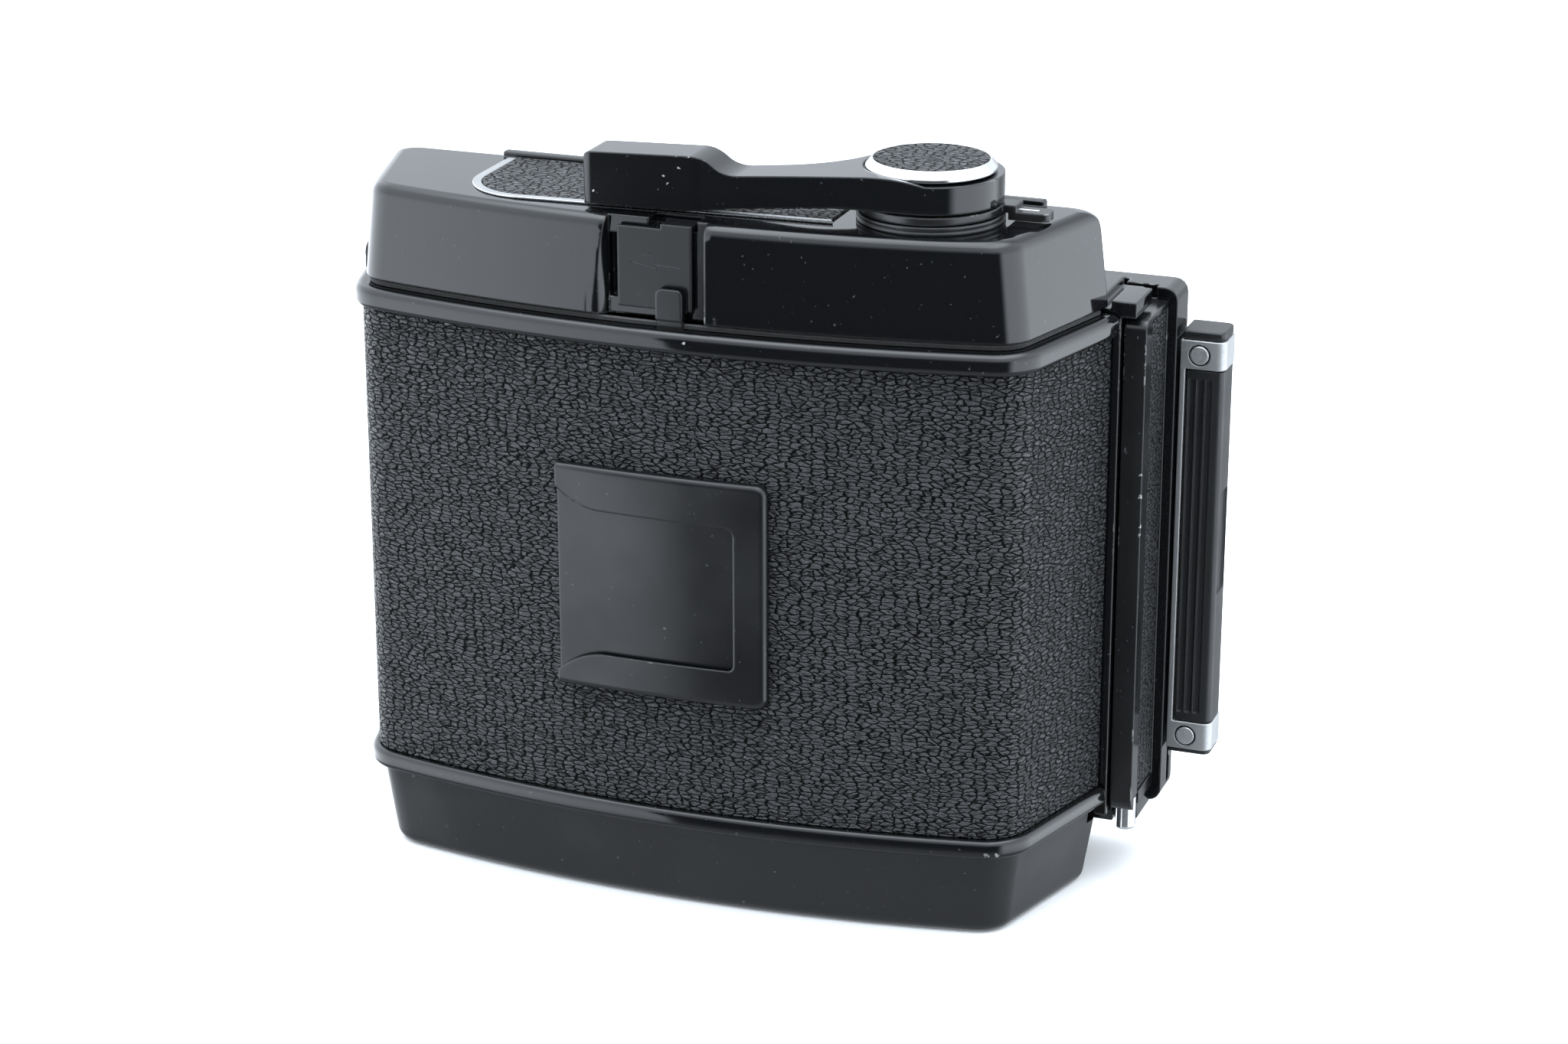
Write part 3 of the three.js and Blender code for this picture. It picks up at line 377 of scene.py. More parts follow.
class Shader:
    """A Principled material with short calls for its nodes."""

    def __init__(self, name):
        self.material = bpy.data.materials.new(name)
        self.material.use_nodes = True
        self.tree = self.material.node_tree
        self.surface = self.tree.nodes["Principled BSDF"]
        self.coordinates = self.tree.nodes.new("ShaderNodeTexCoord")

    def node(self, kind, **settings):
        made = self.tree.nodes.new("ShaderNode" + kind)
        for key, value in settings.items():
            setattr(made, key, value)
        return made

    def link(self, source, target):
        self.tree.links.new(source, target)

    def put(self, socket, value):
        if isinstance(value, bpy.types.NodeSocket):
            self.link(value, socket)
        else:
            socket.default_value = value

    def math(self, operation, a, b=0.0, c=0.0, clamp=False):
        made = self.node("Math", operation=operation, use_clamp=clamp)
        for socket, value in zip(made.inputs, (a, b, c)):
            self.put(socket, value)
        return made.outputs[0]

    def ramp(self, value, low, high, out_low=0.0, out_high=1.0):
        made = self.node("MapRange", interpolation_type="SMOOTHSTEP")
        for key, number in zip(RAMP_SOCKETS, (low, high, out_low, out_high)):
            made.inputs[key].default_value = number
        self.put(made.inputs["Value"], value)
        return made.outputs["Result"]

    def noise(self, scale, detail=2.0, vector=None, roughness=0.5):
        made = self.node("TexNoise")
        made.inputs["Scale"].default_value = scale
        made.inputs["Detail"].default_value = detail
        made.inputs["Roughness"].default_value = roughness
        self.link(vector or self.coordinates.outputs["Object"], made.inputs["Vector"])
        return made.outputs["Fac"]

    def scattered(self, scale, reach):
        """The object's coordinates, shifted by noise."""
        noise = self.node("TexNoise")
        noise.inputs["Scale"].default_value = scale
        noise.inputs["Detail"].default_value = 3.0
        self.link(self.coordinates.outputs["Object"], noise.inputs["Vector"])
        centred = self.node("VectorMath", operation="SUBTRACT")
        self.link(noise.outputs["Color"], centred.inputs[0])
        centred.inputs[1].default_value = (0.5, 0.5, 0.5)
        moved = self.node("VectorMath", operation="MULTIPLY_ADD")
        self.link(centred.outputs["Vector"], moved.inputs[0])
        moved.inputs[1].default_value = (reach, reach, reach)
        self.link(self.coordinates.outputs["Object"], moved.inputs[2])
        return moved.outputs["Vector"]

    def mix(self, factor, a, b):
        made = self.node("Mix", data_type="RGBA")
        self.put(made.inputs[0], factor)
        self.put(made.inputs[6], a)
        self.put(made.inputs[7], b)
        return made.outputs[2]

    def bump(self, height, distance, strength=1.0, normal=None):
        made = self.node("Bump")
        made.inputs["Strength"].default_value = strength
        made.inputs["Distance"].default_value = distance
        self.put(made.inputs["Height"], height)
        if normal is not None:
            self.link(normal, made.inputs["Normal"])
        return made.outputs["Normal"]

    def set(self, **values):
        for key, value in values.items():
            self.put(self.surface.inputs[key.replace("_", " ")], value)
        return self.material

    def edge(self, radius):
        """Rounded normal, and how sharp the edge is at a point."""
        bevel = self.node("Bevel", samples=6)
        bevel.inputs["Radius"].default_value = radius
        geometry = self.node("NewGeometry")
        dot = self.node("VectorMath", operation="DOT_PRODUCT")
        self.link(bevel.outputs["Normal"], dot.inputs[0])
        self.link(geometry.outputs["Normal"], dot.inputs[1])
        return bevel.outputs["Normal"], self.math("SUBTRACT", 1.0, dot.outputs["Value"])


def enamel(name, roughness=0.055, wear=0.5, colour=(0.0028, 0.0031, 0.0036, 1), chipped=()):
    """Glossy black paint: faint ripple, dust, rubbed edges, and chips of bare metal."""
    s = Shader(name)
    normal, sharp = s.edge(0.00045)
    fleck = s.noise(620.0, 3.0, roughness=0.6)
    patch = s.ramp(s.noise(110.0, 1.0), 0.66 - 0.08 * wear, 0.72 - 0.08 * wear)
    chips = s.math("MULTIPLY", patch, s.ramp(fleck, 0.5, 0.56))
    chips = s.math("MULTIPLY", chips, s.ramp(sharp, 0.05, 0.14))
    ragged = s.scattered(1500.0, 0.0011) if chipped else None
    for x, y, z, radius in chipped:
        away = s.node("VectorMath", operation="DISTANCE")
        s.link(ragged, away.inputs[0])
        away.inputs[1].default_value = place(x, y, z)
        bare = s.ramp(away.outputs["Value"], 0.62 * radius * MM, 0.75 * radius * MM, 1.0, 0.0)
        chips = s.math("MAXIMUM", chips, bare)
    rubbed = s.math("MULTIPLY", s.ramp(sharp, 0.02, 0.2), 0.35 * wear)
    dust = s.ramp(s.noise(1500.0, 1.0), 0.74, 0.8)
    film = s.mix(s.math("MAXIMUM", s.math("MULTIPLY", dust, 0.1), s.math("MULTIPLY", rubbed, 0.12)),
                 colour, (0.4, 0.41, 0.43, 1))
    smear = s.ramp(s.noise(45.0, 3.0), 0.35, 0.7, roughness * 0.8, roughness * 1.5)
    rough = s.math("ADD", smear, s.math("MULTIPLY", chips, 0.3))
    rough = s.math("ADD", rough, s.math("MULTIPLY", rubbed, 0.2))
    return s.set(
        Base_Color=s.mix(chips, film, (0.5, 0.5, 0.49, 1)),
        Metallic=chips,
        Roughness=rough,
        Normal=s.bump(s.noise(420.0, 2.0), 0.00002, 0.08, normal),
        IOR=1.52,
    )


LEATHER_TONE = (0.0135, 0.015, 0.0175)
# Colour of the painted glints on the leatherette's raised tops.
LEATHER_GLINT = (0.05, 0.055, 0.061)


# painted_top_light scales the colour up: painted light for covering that faces upwards.
def leatherette(name, painted_top_light=1.0, cell=(1.7, 0.62)):
    """Grained covering: raised, lengthwise wrinkles with creases and pits between them; painted shade
    darkens the creases and pits, and the raised tops carry painted glints.
    """
    s = Shader(name)
    uv = s.node("UVMap", uv_map="grain").outputs["UV"]
    split = s.node("SeparateXYZ")
    s.link(uv, split.inputs[0])
    wobble = s.math("SUBTRACT", s.noise(0.9, 2.0, uv), 0.5)
    sway = s.math("SUBTRACT", s.noise(0.16, 1.0, uv), 0.5)
    shift = s.math("ADD", s.math("MULTIPLY", wobble, 0.55), s.math("MULTIPLY", sway, 1.6))
    v = s.math("DIVIDE", s.math("ADD", split.outputs["Y"], shift), cell[1])
    u = s.math("ADD", s.math("DIVIDE", split.outputs["X"], cell[0]), s.math("MULTIPLY", wobble, 0.7))
    join = s.node("CombineXYZ")
    s.link(u, join.inputs[0])
    s.link(v, join.inputs[1])
    creases = s.node("TexVoronoi", voronoi_dimensions="2D", feature="DISTANCE_TO_EDGE")
    cells = s.node("TexVoronoi", voronoi_dimensions="2D", feature="F1")
    for voronoi in (creases, cells):
        voronoi.inputs["Scale"].default_value = 1.0
        voronoi.inputs["Randomness"].default_value = 0.85
        s.link(join.outputs[0], voronoi.inputs["Vector"])
    tone = s.node("SeparateColor")
    s.link(cells.outputs["Color"], tone.inputs[0])
    wrinkle = s.ramp(creases.outputs["Distance"], 0.02, 0.2)
    size = s.math("ADD", 0.5, s.math("MULTIPLY", tone.outputs[0], 0.5))
    pits = s.ramp(s.noise(1.6, 3.0, join.outputs[0], 0.6), 0.4, 0.56)
    fibre = s.noise(5.5, 2.0, uv)
    pitted = s.math("ADD", 0.3, s.math("MULTIPLY", pits, 0.7))
    height = s.math("MULTIPLY", s.math("MULTIPLY", wrinkle, size), pitted)
    height = s.math("ADD", height, s.math("MULTIPLY", fibre, 0.3))
    # Painted shade: the colour darkens from the raised tops down into the creases and pits.
    painted_shading = s.ramp(height, 0.2, 0.85)
    # Painted glints: small bright specks on the raised tops.
    painted_glints = s.math("MULTIPLY", s.ramp(s.noise(2.6, 1.0, uv), 0.6, 0.7), painted_shading)
    tops_with_painted_glints = s.mix(
        painted_glints,
        tuple(c * painted_top_light for c in LEATHER_TONE) + (1,),
        tuple(c * painted_top_light for c in LEATHER_GLINT) + (1,),
    )
    # Base colour: painted shade in the creases and pits, lighter tops with painted glints.
    return s.set(
        Base_Color=s.mix(painted_shading, (0.0006, 0.0007, 0.0009, 1), tops_with_painted_glints),
        Roughness=s.ramp(height, 0.25, 0.95, 0.6, 0.32),
        Normal=s.bump(height, 0.00042, 1.0),
        Specular_IOR_Level=s.ramp(height, 0.15, 0.6, 0.05, 0.8),
    )


def metal(name, colour, roughness, grain=3000.0, marks=0.1):
    """Bare metal with a fine grain and faint stains."""
    s = Shader(name)
    normal = s.edge(0.0002)[0]
    fine = s.noise(grain, 2.0)
    stain = s.ramp(s.noise(160.0, 3.0), 0.4, 0.75)
    dark = tuple(c * 0.86 for c in colour) + (1,)
    return s.set(
        Base_Color=s.mix(stain, tuple(colour) + (1,), dark),
        Metallic=1.0,
        Roughness=s.math("ADD", s.ramp(fine, 0.3, 0.7, roughness * 0.85, roughness * 1.15),
                         s.math("MULTIPLY", stain, 0.05)),
        Normal=s.bump(fine, 0.000004, marks, normal),
    )


def plastic(name, colour, roughness):
    s = Shader(name)
    normal, sharp = s.edge(0.0003)
    grain = s.noise(1600.0, 2.0)
    worn = s.ramp(s.math("MULTIPLY", sharp, s.noise(300.0, 3.0)), 0.015, 0.08)
    light = tuple(min(1.0, c * 2.2 + 0.02) for c in colour) + (1,)
    return s.set(
        Base_Color=s.mix(worn, tuple(colour) + (1,), light),
        Roughness=s.ramp(s.noise(90.0, 3.0), 0.3, 0.7, roughness * 0.85, roughness * 1.2),
        Normal=s.bump(grain, 0.00001, 0.3, normal),
    )


def felt(name):
    s = Shader(name)
    nap = s.noise(2600.0, 4.0)
    return s.set(
        Base_Color=s.mix(nap, (0.004, 0.004, 0.004, 1), (0.02, 0.02, 0.02, 1)),
        Roughness=0.95,
        Normal=s.bump(nap, 0.00012, 0.8),
        Sheen_Weight=0.3,
    )


def window_glass(name):
    s = Shader(name)
    return s.set(
        Base_Color=(0.95, 0.97, 0.98, 1),
        Roughness=s.ramp(s.noise(400.0, 2.0), 0.4, 0.8, 0.01, 0.05),
        Transmission_Weight=1.0,
        IOR=1.49,
    )


GLOSS = enamel("enamel")
CAP_ENAMEL = enamel("enamel_top", chipped=[(25, -30, 99, 0.22)])
COVER_ENAMEL = enamel("enamel_cover", wear=0.5, chipped=[
    (-40, -27.6, 88.8, 0.36), (-38.5, -27.9, 88.7, 0.28), (-36, -28.3, 88.5, 0.22), (3.5, -30.7, 88.9, 0.3),
    (38.7, -27.8, 88.1, 0.28), (42.7, -26.9, 88, 0.3), (57.4, -12, 88.6, 0.3),
    (48, -25.3, 14.4, 0.5), (49.4, -24.9, 14.4, 0.42),
])
LEVER_ENAMEL = enamel("enamel_lever", wear=0.6, chipped=[
    (-12.4, -25, 108.4, 0.26), (-1.8, -24.7, 111.2, 0.34), (-1.2, -24.7, 110.2, 0.26),
    (-2.6, -24.7, 109.4, 0.2), (0.6, -24.6, 112.6, 0.34),
])
PANEL_ENAMEL = enamel("enamel_panel", 0.2, 0.1, (0.005, 0.0053, 0.0058, 1), [
    (62.2, 1.6, 65.8, 0.34), (62.2, 1.7, 62.4, 0.4), (62.2, 1.7, 57.8, 0.42), (62.2, 1.6, 56.4, 0.26),
    (62.2, 1.6, 80.5, 0.26), (62.2, 1.6, 46.6, 0.2),
])
SATIN = enamel("enamel_satin", 0.24, 0.4, (0.0055, 0.0059, 0.0065, 1))
SHEET = enamel("enamel_sheet", 0.22, 0.5, (0.0035, 0.0038, 0.0044, 1))
WORN = enamel("enamel_worn", 0.3, 1.6, (0.006, 0.0062, 0.0066, 1))
LEATHER = leatherette("leatherette")
# The top covering is a 1.3 times lighter copy of the leatherette: painted light on the upward-facing
# covering.
LEATHER_TOP = leatherette("leatherette_top", 1.3, (1.5, 0.95))
CHROME = metal("chrome", (0.82, 0.83, 0.84), 0.1, marks=0.02)
TRIM = metal("trim_metal", (0.52, 0.53, 0.54), 0.26)
SATIN_STEEL = metal("satin_steel", (0.52, 0.53, 0.535), 0.52)
SLIDE_STEEL = metal("slide_steel", (0.5, 0.51, 0.52), 0.3, marks=0.015)
RIVET_STEEL = metal("rivet_steel", (0.74, 0.75, 0.76), 0.46)
STEEL = metal("plain_steel", (0.45, 0.45, 0.47), 0.28)
BRASS = metal("brass", (0.66, 0.5, 0.24), 0.26)
ALLOY = metal("cast_alloy", (0.1, 0.1, 0.105), 0.5, 1200.0, 0.3)
MATTE = plastic("matte_black", (0.0065, 0.007, 0.0078), 0.34)
SPOOL_PLASTIC = plastic("spool_plastic", (0.012, 0.012, 0.013), 0.4)
FELT = felt("felt")
GLASS = window_glass("window")
DIAL = plastic("dial", (0.7, 0.69, 0.65), 0.5)
PAINT_LINE = plastic("line_paint", (0.75, 0.75, 0.73), 0.5)


# ---- Rear cover ----

def build_cover():
    bead_foot = LOWER_BEAD[0] - BEAD_DROP
    profile = [(-2.3, bead_foot), (-2.3, UPPER_BEAD[1])]
    high = UPPER_BEAD[1]
    profile += [(-0.5, high)] + arc(-0.2, high - 1.3, 1.3, math.pi / 2, 0, 8)
    profile += arc(0.2, UPPER_BEAD[0] + 0.9, 0.9, 0, -math.pi / 2, 6)
    profile += [(-1.0, UPPER_BEAD[0]), (-1.0, LOWER_BEAD[1])]
    profile += arc(0.2, LOWER_BEAD[1] - 0.9, 0.9, math.pi / 2, 0, 6)
    profile += arc(0.2, bead_foot + 0.9, 0.9, 0, -math.pi / 2, 6)
    cover = soften(swept("cover_shell", profile), 0)
    finish_piece(cover, "cover", COVER_ENAMEL, "enamel", "rear_cover")

    low, high = LOWER_BEAD[1] + 0.06, UPPER_BEAD[0] - 0.06
    edge = 0.22
    rows = [low + edge + (high - low - 2 * edge) * i / 24 for i in range(25)]
    profile = [(-0.85, low), (-edge, low), (-0.06, low + 0.06), (0.0, low + edge)]
    profile += [(0.0, z) for z in rows[1:-1]]
    profile += [(0.0, high - edge), (-0.06, high - 0.06), (-edge, high), (-0.85, high)]
    covering = swept("cover_leatherette", profile, grain=True)
    soften(covering, 0)
    finish_piece(covering, "cover", LEATHER, "leatherette", "rear_covering")


def bend(obj):
    """Bends a flat sheet to the shell's rear face."""
    bm = bmesh.new()
    bm.from_mesh(obj.data)
    for x in range(-22, 23):
        geometry = bm.verts[:] + bm.edges[:] + bm.faces[:]
        bmesh.ops.bisect_plane(
            bm, geom=geometry, plane_co=(x * MM, 0, 0), plane_no=(1, 0, 0), dist=1e-7,
        )
    for vertex in bm.verts:
        offset = PARTING_Y - vertex.co.y / MM
        vertex.co.y = (rear_y(vertex.co.x / MM, offset) + PARTING_Y) * MM
    bm.to_mesh(obj.data)
    bm.free()
    return soften(obj, 0)


def roll(obj, width, segments, picked):
    """Rounds only the edges whose middle is picked."""
    bm = bmesh.new()
    bm.from_mesh(obj.data)
    edges = [e for e in bm.edges if picked((e.verts[0].co + e.verts[1].co) / 2 / MM)]
    bmesh.ops.bevel(bm, geom=edges, offset=width * MM, segments=segments, profile=0.5, affect="EDGES")
    bm.to_mesh(obj.data)
    bm.free()


MEMO_X = (-17.0, 15.8)
MEMO_Z = (34.2, 68.7)
MEMO_PROUD = 1.5


def memo_outline(inset, left):
    right = MEMO_X[1] - inset
    low, high = MEMO_Z[0] + inset, MEMO_Z[1] - inset
    radius = 1.7 - inset
    return (
        arc(right - radius, low + radius, radius, -math.pi / 2, 0, 6)
        + arc(right - radius, high - radius, radius, 0, math.pi / 2, 6)
        + [(left, high), (left, low)]
    )


def build_memo_holder():
    left, right = MEMO_X
    plate = prism("memo_back_plate", memo_outline(0.75, left), "y", -0.55, -0.06)
    finish_piece(bend(soften(plate, 0.1)), "cover", SHEET, "enamel", "memo_plate")

    holder = prism("memo_frame_folded", memo_outline(0, left), "y", -MEMO_PROUD, -0.06)
    roll(holder, 0.95, 6, lambda m: m.y - PARTING_Y < 0.01 - MEMO_PROUD and m.x > left + 0.01)
    inner_x = right - 5.0
    top, bottom = 61.9, 39.9
    quarter = math.pi / 2
    window = (
        [(left - 5, top + 3.2), (left, top + 3.2)]
        + curve((left, top + 3.2), (left + 3.0, top + 0.6), (left + 6.6, top + 0.2), 10)
        + arc(inner_x - 1.5, top - 1.5, 1.5, quarter, 0, 6)
        + arc(inner_x - 1.0, bottom + 1.0, 1.0, 0, -quarter, 6)
        + curve((inner_x - 1.0, bottom), (left + 7.0, bottom - 0.1), (left + 7.0, bottom - 0.1), 2)
        + curve((left + 7.0, bottom - 0.1), (left + 3.2, bottom - 0.5), (left, bottom - 3.4), 10)
        + [(left - 5, bottom - 3.4)]
    )
    window = [p for i, p in enumerate(window) if math.dist(p, window[i - 1]) > 0.01]
    cut(
        holder,
        prism("pocket", memo_outline(0.7, left - 5), "y", -0.88, 2),
        prism("window", window, "y", -5, 2),
    )
    finish_piece(bend(soften(holder, 0.14)), "cover", SHEET, "enamel", "memo_frame")


def build_base():
    radius = 1.9
    heights = [radius * (1 - math.cos(math.pi / 2 * i / 8)) for i in range(9)]
    heights += [4.0, 7.0, 10.0, 12.9]
    rings = []
    for z in heights:
        inset = fillet(radius - z, radius)
        outline = closed_outline(-0.6 - inset, HINGE[0] + HINGE[1] - inset, 3.0)
        rings.append([place(x, y, z) for x, y in narrowed(outline, 1 - z / BASE_TOP, 2.0, 2.0)])
    for offset, z in ((-0.62, 13.1), (-0.75, 13.25)):
        outline = closed_outline(offset, HINGE[0] + HINGE[1], 3.0)
        rings.append([place(x, y, z) for x, y in outline])
    base = loft("base_shell", rings)
    nose = HINGE[1]
    above = [(COVER_FRONT, 20), (-45, 20)]
    middle = [(-45, -1), (HINGE[0], -1)] + arc(*HINGE, nose, -math.pi / 2, math.pi / 2, 24)
    middle += [(COVER_FRONT, HINGE[1] + nose)] + above
    end = [(-45, -1), (-1.4, -1)] + arc(-1.4, 4.2, 4.2, -math.pi / 2, 0, 16)
    end += [(2.6, 10.2), (COVER_FRONT, 10.2)] + above
    views = prism("middle_view", middle, "x", -CHEEK_X, CHEEK_X)
    combine(views, "UNION", prism("left_view", end, "x", -80, -CHEEK_X + 0.01))
    combine(views, "UNION", prism("right_view", end, "x", CHEEK_X - 0.01, 80))
    combine(base, "INTERSECT", views)
    hollow = closed_outline(-5.0, -5.5, 1.0)
    bore = prism("bore", arc(*HINGE, 1.5, 0, 2 * math.pi, 24)[:-1], "x", -50.2, 50.2)
    slots = [box("slot", (x - 4, x + 4), (HINGE[0] - nose + 0.6, 10), (-5, 20)) for x in (-30, 30)]
    cut(base, prism("hollow", hollow, "z", 2.2, 30), bore, *slots)
    finish_piece(soften(base, 0.12, 2, 50), "cover", SATIN, "enamel", "base_casting")


# ---- Top casting ----

def build_top():
    side, front = 1.8, 3.3
    low, high = CAP
    heights = [low, low + 0.12, low + 0.35, low + 3.5, low + 7.0, high - 4.2]
    heights += [high - front * (1 - math.sin(math.pi / 2 * i / 6)) for i in range(3)]
    heights += [high - side * (1 - math.sin(math.pi / 2 * i / 10)) for i in range(11)]
    rings = []
    for z in sorted(set(round(h, 4) for h in heights)):
        foot = 0.35 - math.sqrt(max(0.0, 0.35 ** 2 - max(0.0, low + 0.35 - z) ** 2))
        inset = fillet(z - (high - side), side) + foot
        front_inset = fillet(z - (high - front), front) + foot
        outline = closed_outline(CAP_OFFSET - inset, CAP_FRONT - front_inset, 2.4)
        share = (z - low) / (high - low)
        rings.append([place(x, y, z) for x, y in narrowed(outline, share, 1.7, 0.4)])
    top = loft("top_shell", rings)
    inner = prism("inner", closed_outline(CAP_OFFSET - 3, CAP_FRONT - 2.2, 1.0), "z", low - 1, high - 2)
    cut(top, inner)
    combine(top, "UNION", box("backing", (-12, 8), (-27.2, -24.4), (low + 0.01, high - 1)))
    strip = soften(box("strip", (-37, 47.6), (-1.9, -0.2), (high - 1, high + 0.9)), 0.42, 5)
    combine(top, "UNION", strip)

    # The recess: its left flank widens towards the bottom, and its right one is a tight roll.
    x0, x1 = RECESS_X
    rings = []
    for i in range(15):
        z = low - 1 + (high - low + 2) * i / 14
        rise = min(1.0, max(0.0, (z - low) / (high - low)))
        start = x0 - 0.6 - 2.1 * (1 - rise ** 2.2)
        edge = (start, rear_y(start, CAP_OFFSET - 0.1))
        outline = [(start, -36), edge]
        outline += curve(edge, (start + 1.4, -29.2), (x0 + 0.2, -27.2), 14)
        outline += [(x0 + 0.3, -26.8), (x1, -26.8), (x1, -28.2)]
        outline += curve((x1, -28.2), (x1, -29.9), (x1 + 1.7, rear_y(x1 + 1.7, CAP_OFFSET - 0.05)), 10)
        outline += [(x1 + 1.7, -36)]
        rings.append([place(x, y, z) for x, y in outline])
    recess = loft("recess", rings)
    gap = box("plate_gap", (x0 + 0.35, -7.9), (-27, -25.2), (93.5, 103))
    notch = box("leaf_notch", (-3.2, 4.2), (-27, -23.6), (high - 1.5, high + 1))
    shank = box("shank_slot", (-4.6, 2), (-28, -24), (97, 100.4))
    holes = [
        prism("hole", arc(*LEVER_AXIS, 3.1, 0, 2 * math.pi, 40)[:-1], "z", 100, 110),
        prism("hole", arc(*WINDOW_AT, 3.2, 0, 2 * math.pi, 40)[:-1], "z", 100, 110),
    ]
    cut(top, recess, gap, notch, shank, *holes)
    finish_piece(soften(top, 0.16, 2, 42), "chassis", CAP_ENAMEL, "enamel", "top_casting")


def inlay_path(inset):
    x, y, radius = -25.4, -13.8, 10.2 - inset
    slope = math.radians(3)
    end = -math.pi / 2 + slope
    path = [(-35.6 + inset, -3.2)] + arc(x, y, radius, -math.pi, end, 24)
    start = path[-1]
    right = 22.6 - 0.55 * inset
    path.append((right, start[1] + (right - start[0]) * math.tan(slope)))
    return path


def build_inlay():
    high = CAP[1]
    width = 1.45
    outer = inlay_path(0.12)
    inner = inlay_path(width)
    trim = prism("inlay_trim", outer + inner[::-1], "z", high + 0.02, high + 0.38)
    finish_piece(soften(trim, 0.12, 2, 35), "chassis", TRIM, "chrome", "top_trim")

    border = inlay_path(width + 0.1)
    panel = prism("inlay_leatherette", border + [(border[-1][0], -2.6), (border[0][0], -2.6)], "z",
                  high + 0.02, high + 0.32)
    cut(
        panel,
        prism("relief", arc(*LEVER_AXIS, HUB_RADIUS + 0.9, 0, 2 * math.pi, 64)[:-1], "z", 90, 120),
        prism("relief", arc(*WINDOW_AT, 4.5, 0, 2 * math.pi, 48)[:-1], "z", 90, 120),
    )
    flat_grain(panel, 0, 1)
    finish_piece(soften(panel, 0), "chassis", LEATHER_TOP, "leatherette", "top_covering")

    collar = [
        (3.4, 105.62), (10.6, 105.62), (10.6, 106.1), (10.35, 106.16), (10.35, 106.3), (10.6, 106.36),
        (10.6, 106.9), (3.4, 106.9),
    ]
    collar = lathe("collar_ring", rounded_profile(collar, 0.12, 2), LEVER_AXIS)
    finish_piece(soften(collar, 0), "chassis", WORN, "enamel", "lever_collar")
    bezel = rounded_profile([(3.1, 105.62), (4.25, 105.62), (3.9, 106.05), (3.1, 106.1)], 0.15)
    bezel = soften(lathe("window_bezel", bezel, WINDOW_AT), 0)
    finish_piece(bezel, "chassis", CHROME, "chrome", "counter_bezel")


# ---- Advance lever ----

def build_lever():
    ax, ay = LEVER_AXIS
    rear = ay - HUB_RADIUS - 1.6
    plan = [(-13.0, rear), (2.2, rear + 0.4)]
    plan += curve((2.2, rear + 0.4), (3.5, rear + 0.45), (4.0, rear + 0.9), 8)
    plan += arc(ax, ay, HUB_RADIUS, -math.pi / 2, 0.9 * math.pi, 48)
    plan += curve(plan[-1], (21, -15.8), (14, -16.8), 12)
    plan += [(6, -17.6), (-13.0, -18.0)]
    plan += curve((-13.0, -18.0), (-14.2, -18.0), (-14.2, -19.2), 5)
    plan += [(-14.2, rear + 1.2)]
    plan += curve((-14.2, rear + 1.2), (-14.2, rear), (-13.0, rear), 5)[:-1]
    side = [(-16, 106.25), (1, 106.3)]
    side += curve((1, 106.3), (10, 107.3), (24, 108.6), 14)
    side += [(48, 108.6), (48, HUB_TOP), (36.5, HUB_TOP)]
    side += curve((36.5, HUB_TOP), (33, 113.6), (28, 113.4), 8)
    side += curve((28, 113.4), (17, 112.7), (9, 112), 12)
    side += curve((9, 112), (6.8, 111.9), (5.3, 113.2), 8)
    side += curve((5.3, 113.2), (3.8, 114.4), (2, 114.4), 8)
    side += [(-12.6, 113.95)]
    side += curve((-12.6, 113.95), (-14.2, 113.9), (-14.2, 112.4), 6)
    side += [(-16, 112.4)]
    lever = prism("lever_arm", plan, "z", 100, 120)
    combine(lever, "INTERSECT", prism("side", side, "y", -40, 20))
    seat = prism("seat", arc(ax, ay, KNOB_RADIUS + 0.35, 0, 2 * math.pi, 72)[:-1], "z", HUB_TOP, 120)
    bore = prism("bore", arc(ax, ay, 2.9, 0, 2 * math.pi, 32)[:-1], "z", 100, 111.8)
    cut(lever, seat, bore)
    finish_piece(soften(lever, 0.6, 5, 33), "lever", LEVER_ENAMEL, "enamel", "advance_lever")

    ring = [
        (0.5, 112.72), (KNOB_RADIUS - 0.3, 112.72), (KNOB_RADIUS, 112.95), (KNOB_RADIUS, 113.35),
        (DISC_RADIUS + 0.32, 114.42), (DISC_RADIUS + 0.12, 114.42), (DISC_RADIUS + 0.1, 114.02),
        (0.5, 114.02),
    ]
    ring = soften(lathe("knob_bevel_ring", rounded_profile(ring, 0.08, 2), LEVER_AXIS, 128), 0)
    finish_piece(ring, "lever", CHROME, "chrome", "knob_ring")
    disc = [place(ax + r * math.cos(a), ay + r * math.sin(a), z)
            for r, z in ((DISC_RADIUS, 114.08), (DISC_RADIUS, 114.36), (DISC_RADIUS - 0.25, 114.45),
                         (DISC_RADIUS * 0.5, 114.52), (0.4, 114.54))
            for a in [2 * math.pi * i / 96 for i in range(96)]]
    disc = loft("knob_leatherette", [disc[i * 96:(i + 1) * 96] for i in range(5)])
    flat_grain(disc, 0, 1)
    finish_piece(soften(disc, 0), "lever", LEATHER_TOP, "leatherette", "knob_covering")


def build_side_strips():
    for label in ("right", "left"):
        node = "side_covering_" + label
        strip = refine(node, 0.1)
        flat_grain(strip, 1, 2)
        finish_piece(strip, "chassis", LEATHER, "leatherette", node)


def build_side_pins():
    foot = 0.55
    for label in ("right", "left"):
        node = "side_pin_" + label
        low, high = (Vector(corner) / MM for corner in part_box(node))
        middle = (low + high) / 2
        radius = min(high.x - low.x, high.y - low.y) / 2 - 0.12
        profile = [(0.02, low.z + 0.01)]
        profile += [(radius - foot + foot * math.sin(a), low.z + 0.01 + foot * (1 - math.cos(a)))
                    for a in [math.pi / 2 * i / 8 for i in range(1, 9)]]
        profile += [(radius, high.z - 0.05), (0.02, high.z - 0.05)]
        pin = lathe("pin_" + label, profile, (middle.x, middle.y - PARTING_Y), 48)
        finish_piece(soften(pin, 0), "chassis", CHROME, "chrome", node)


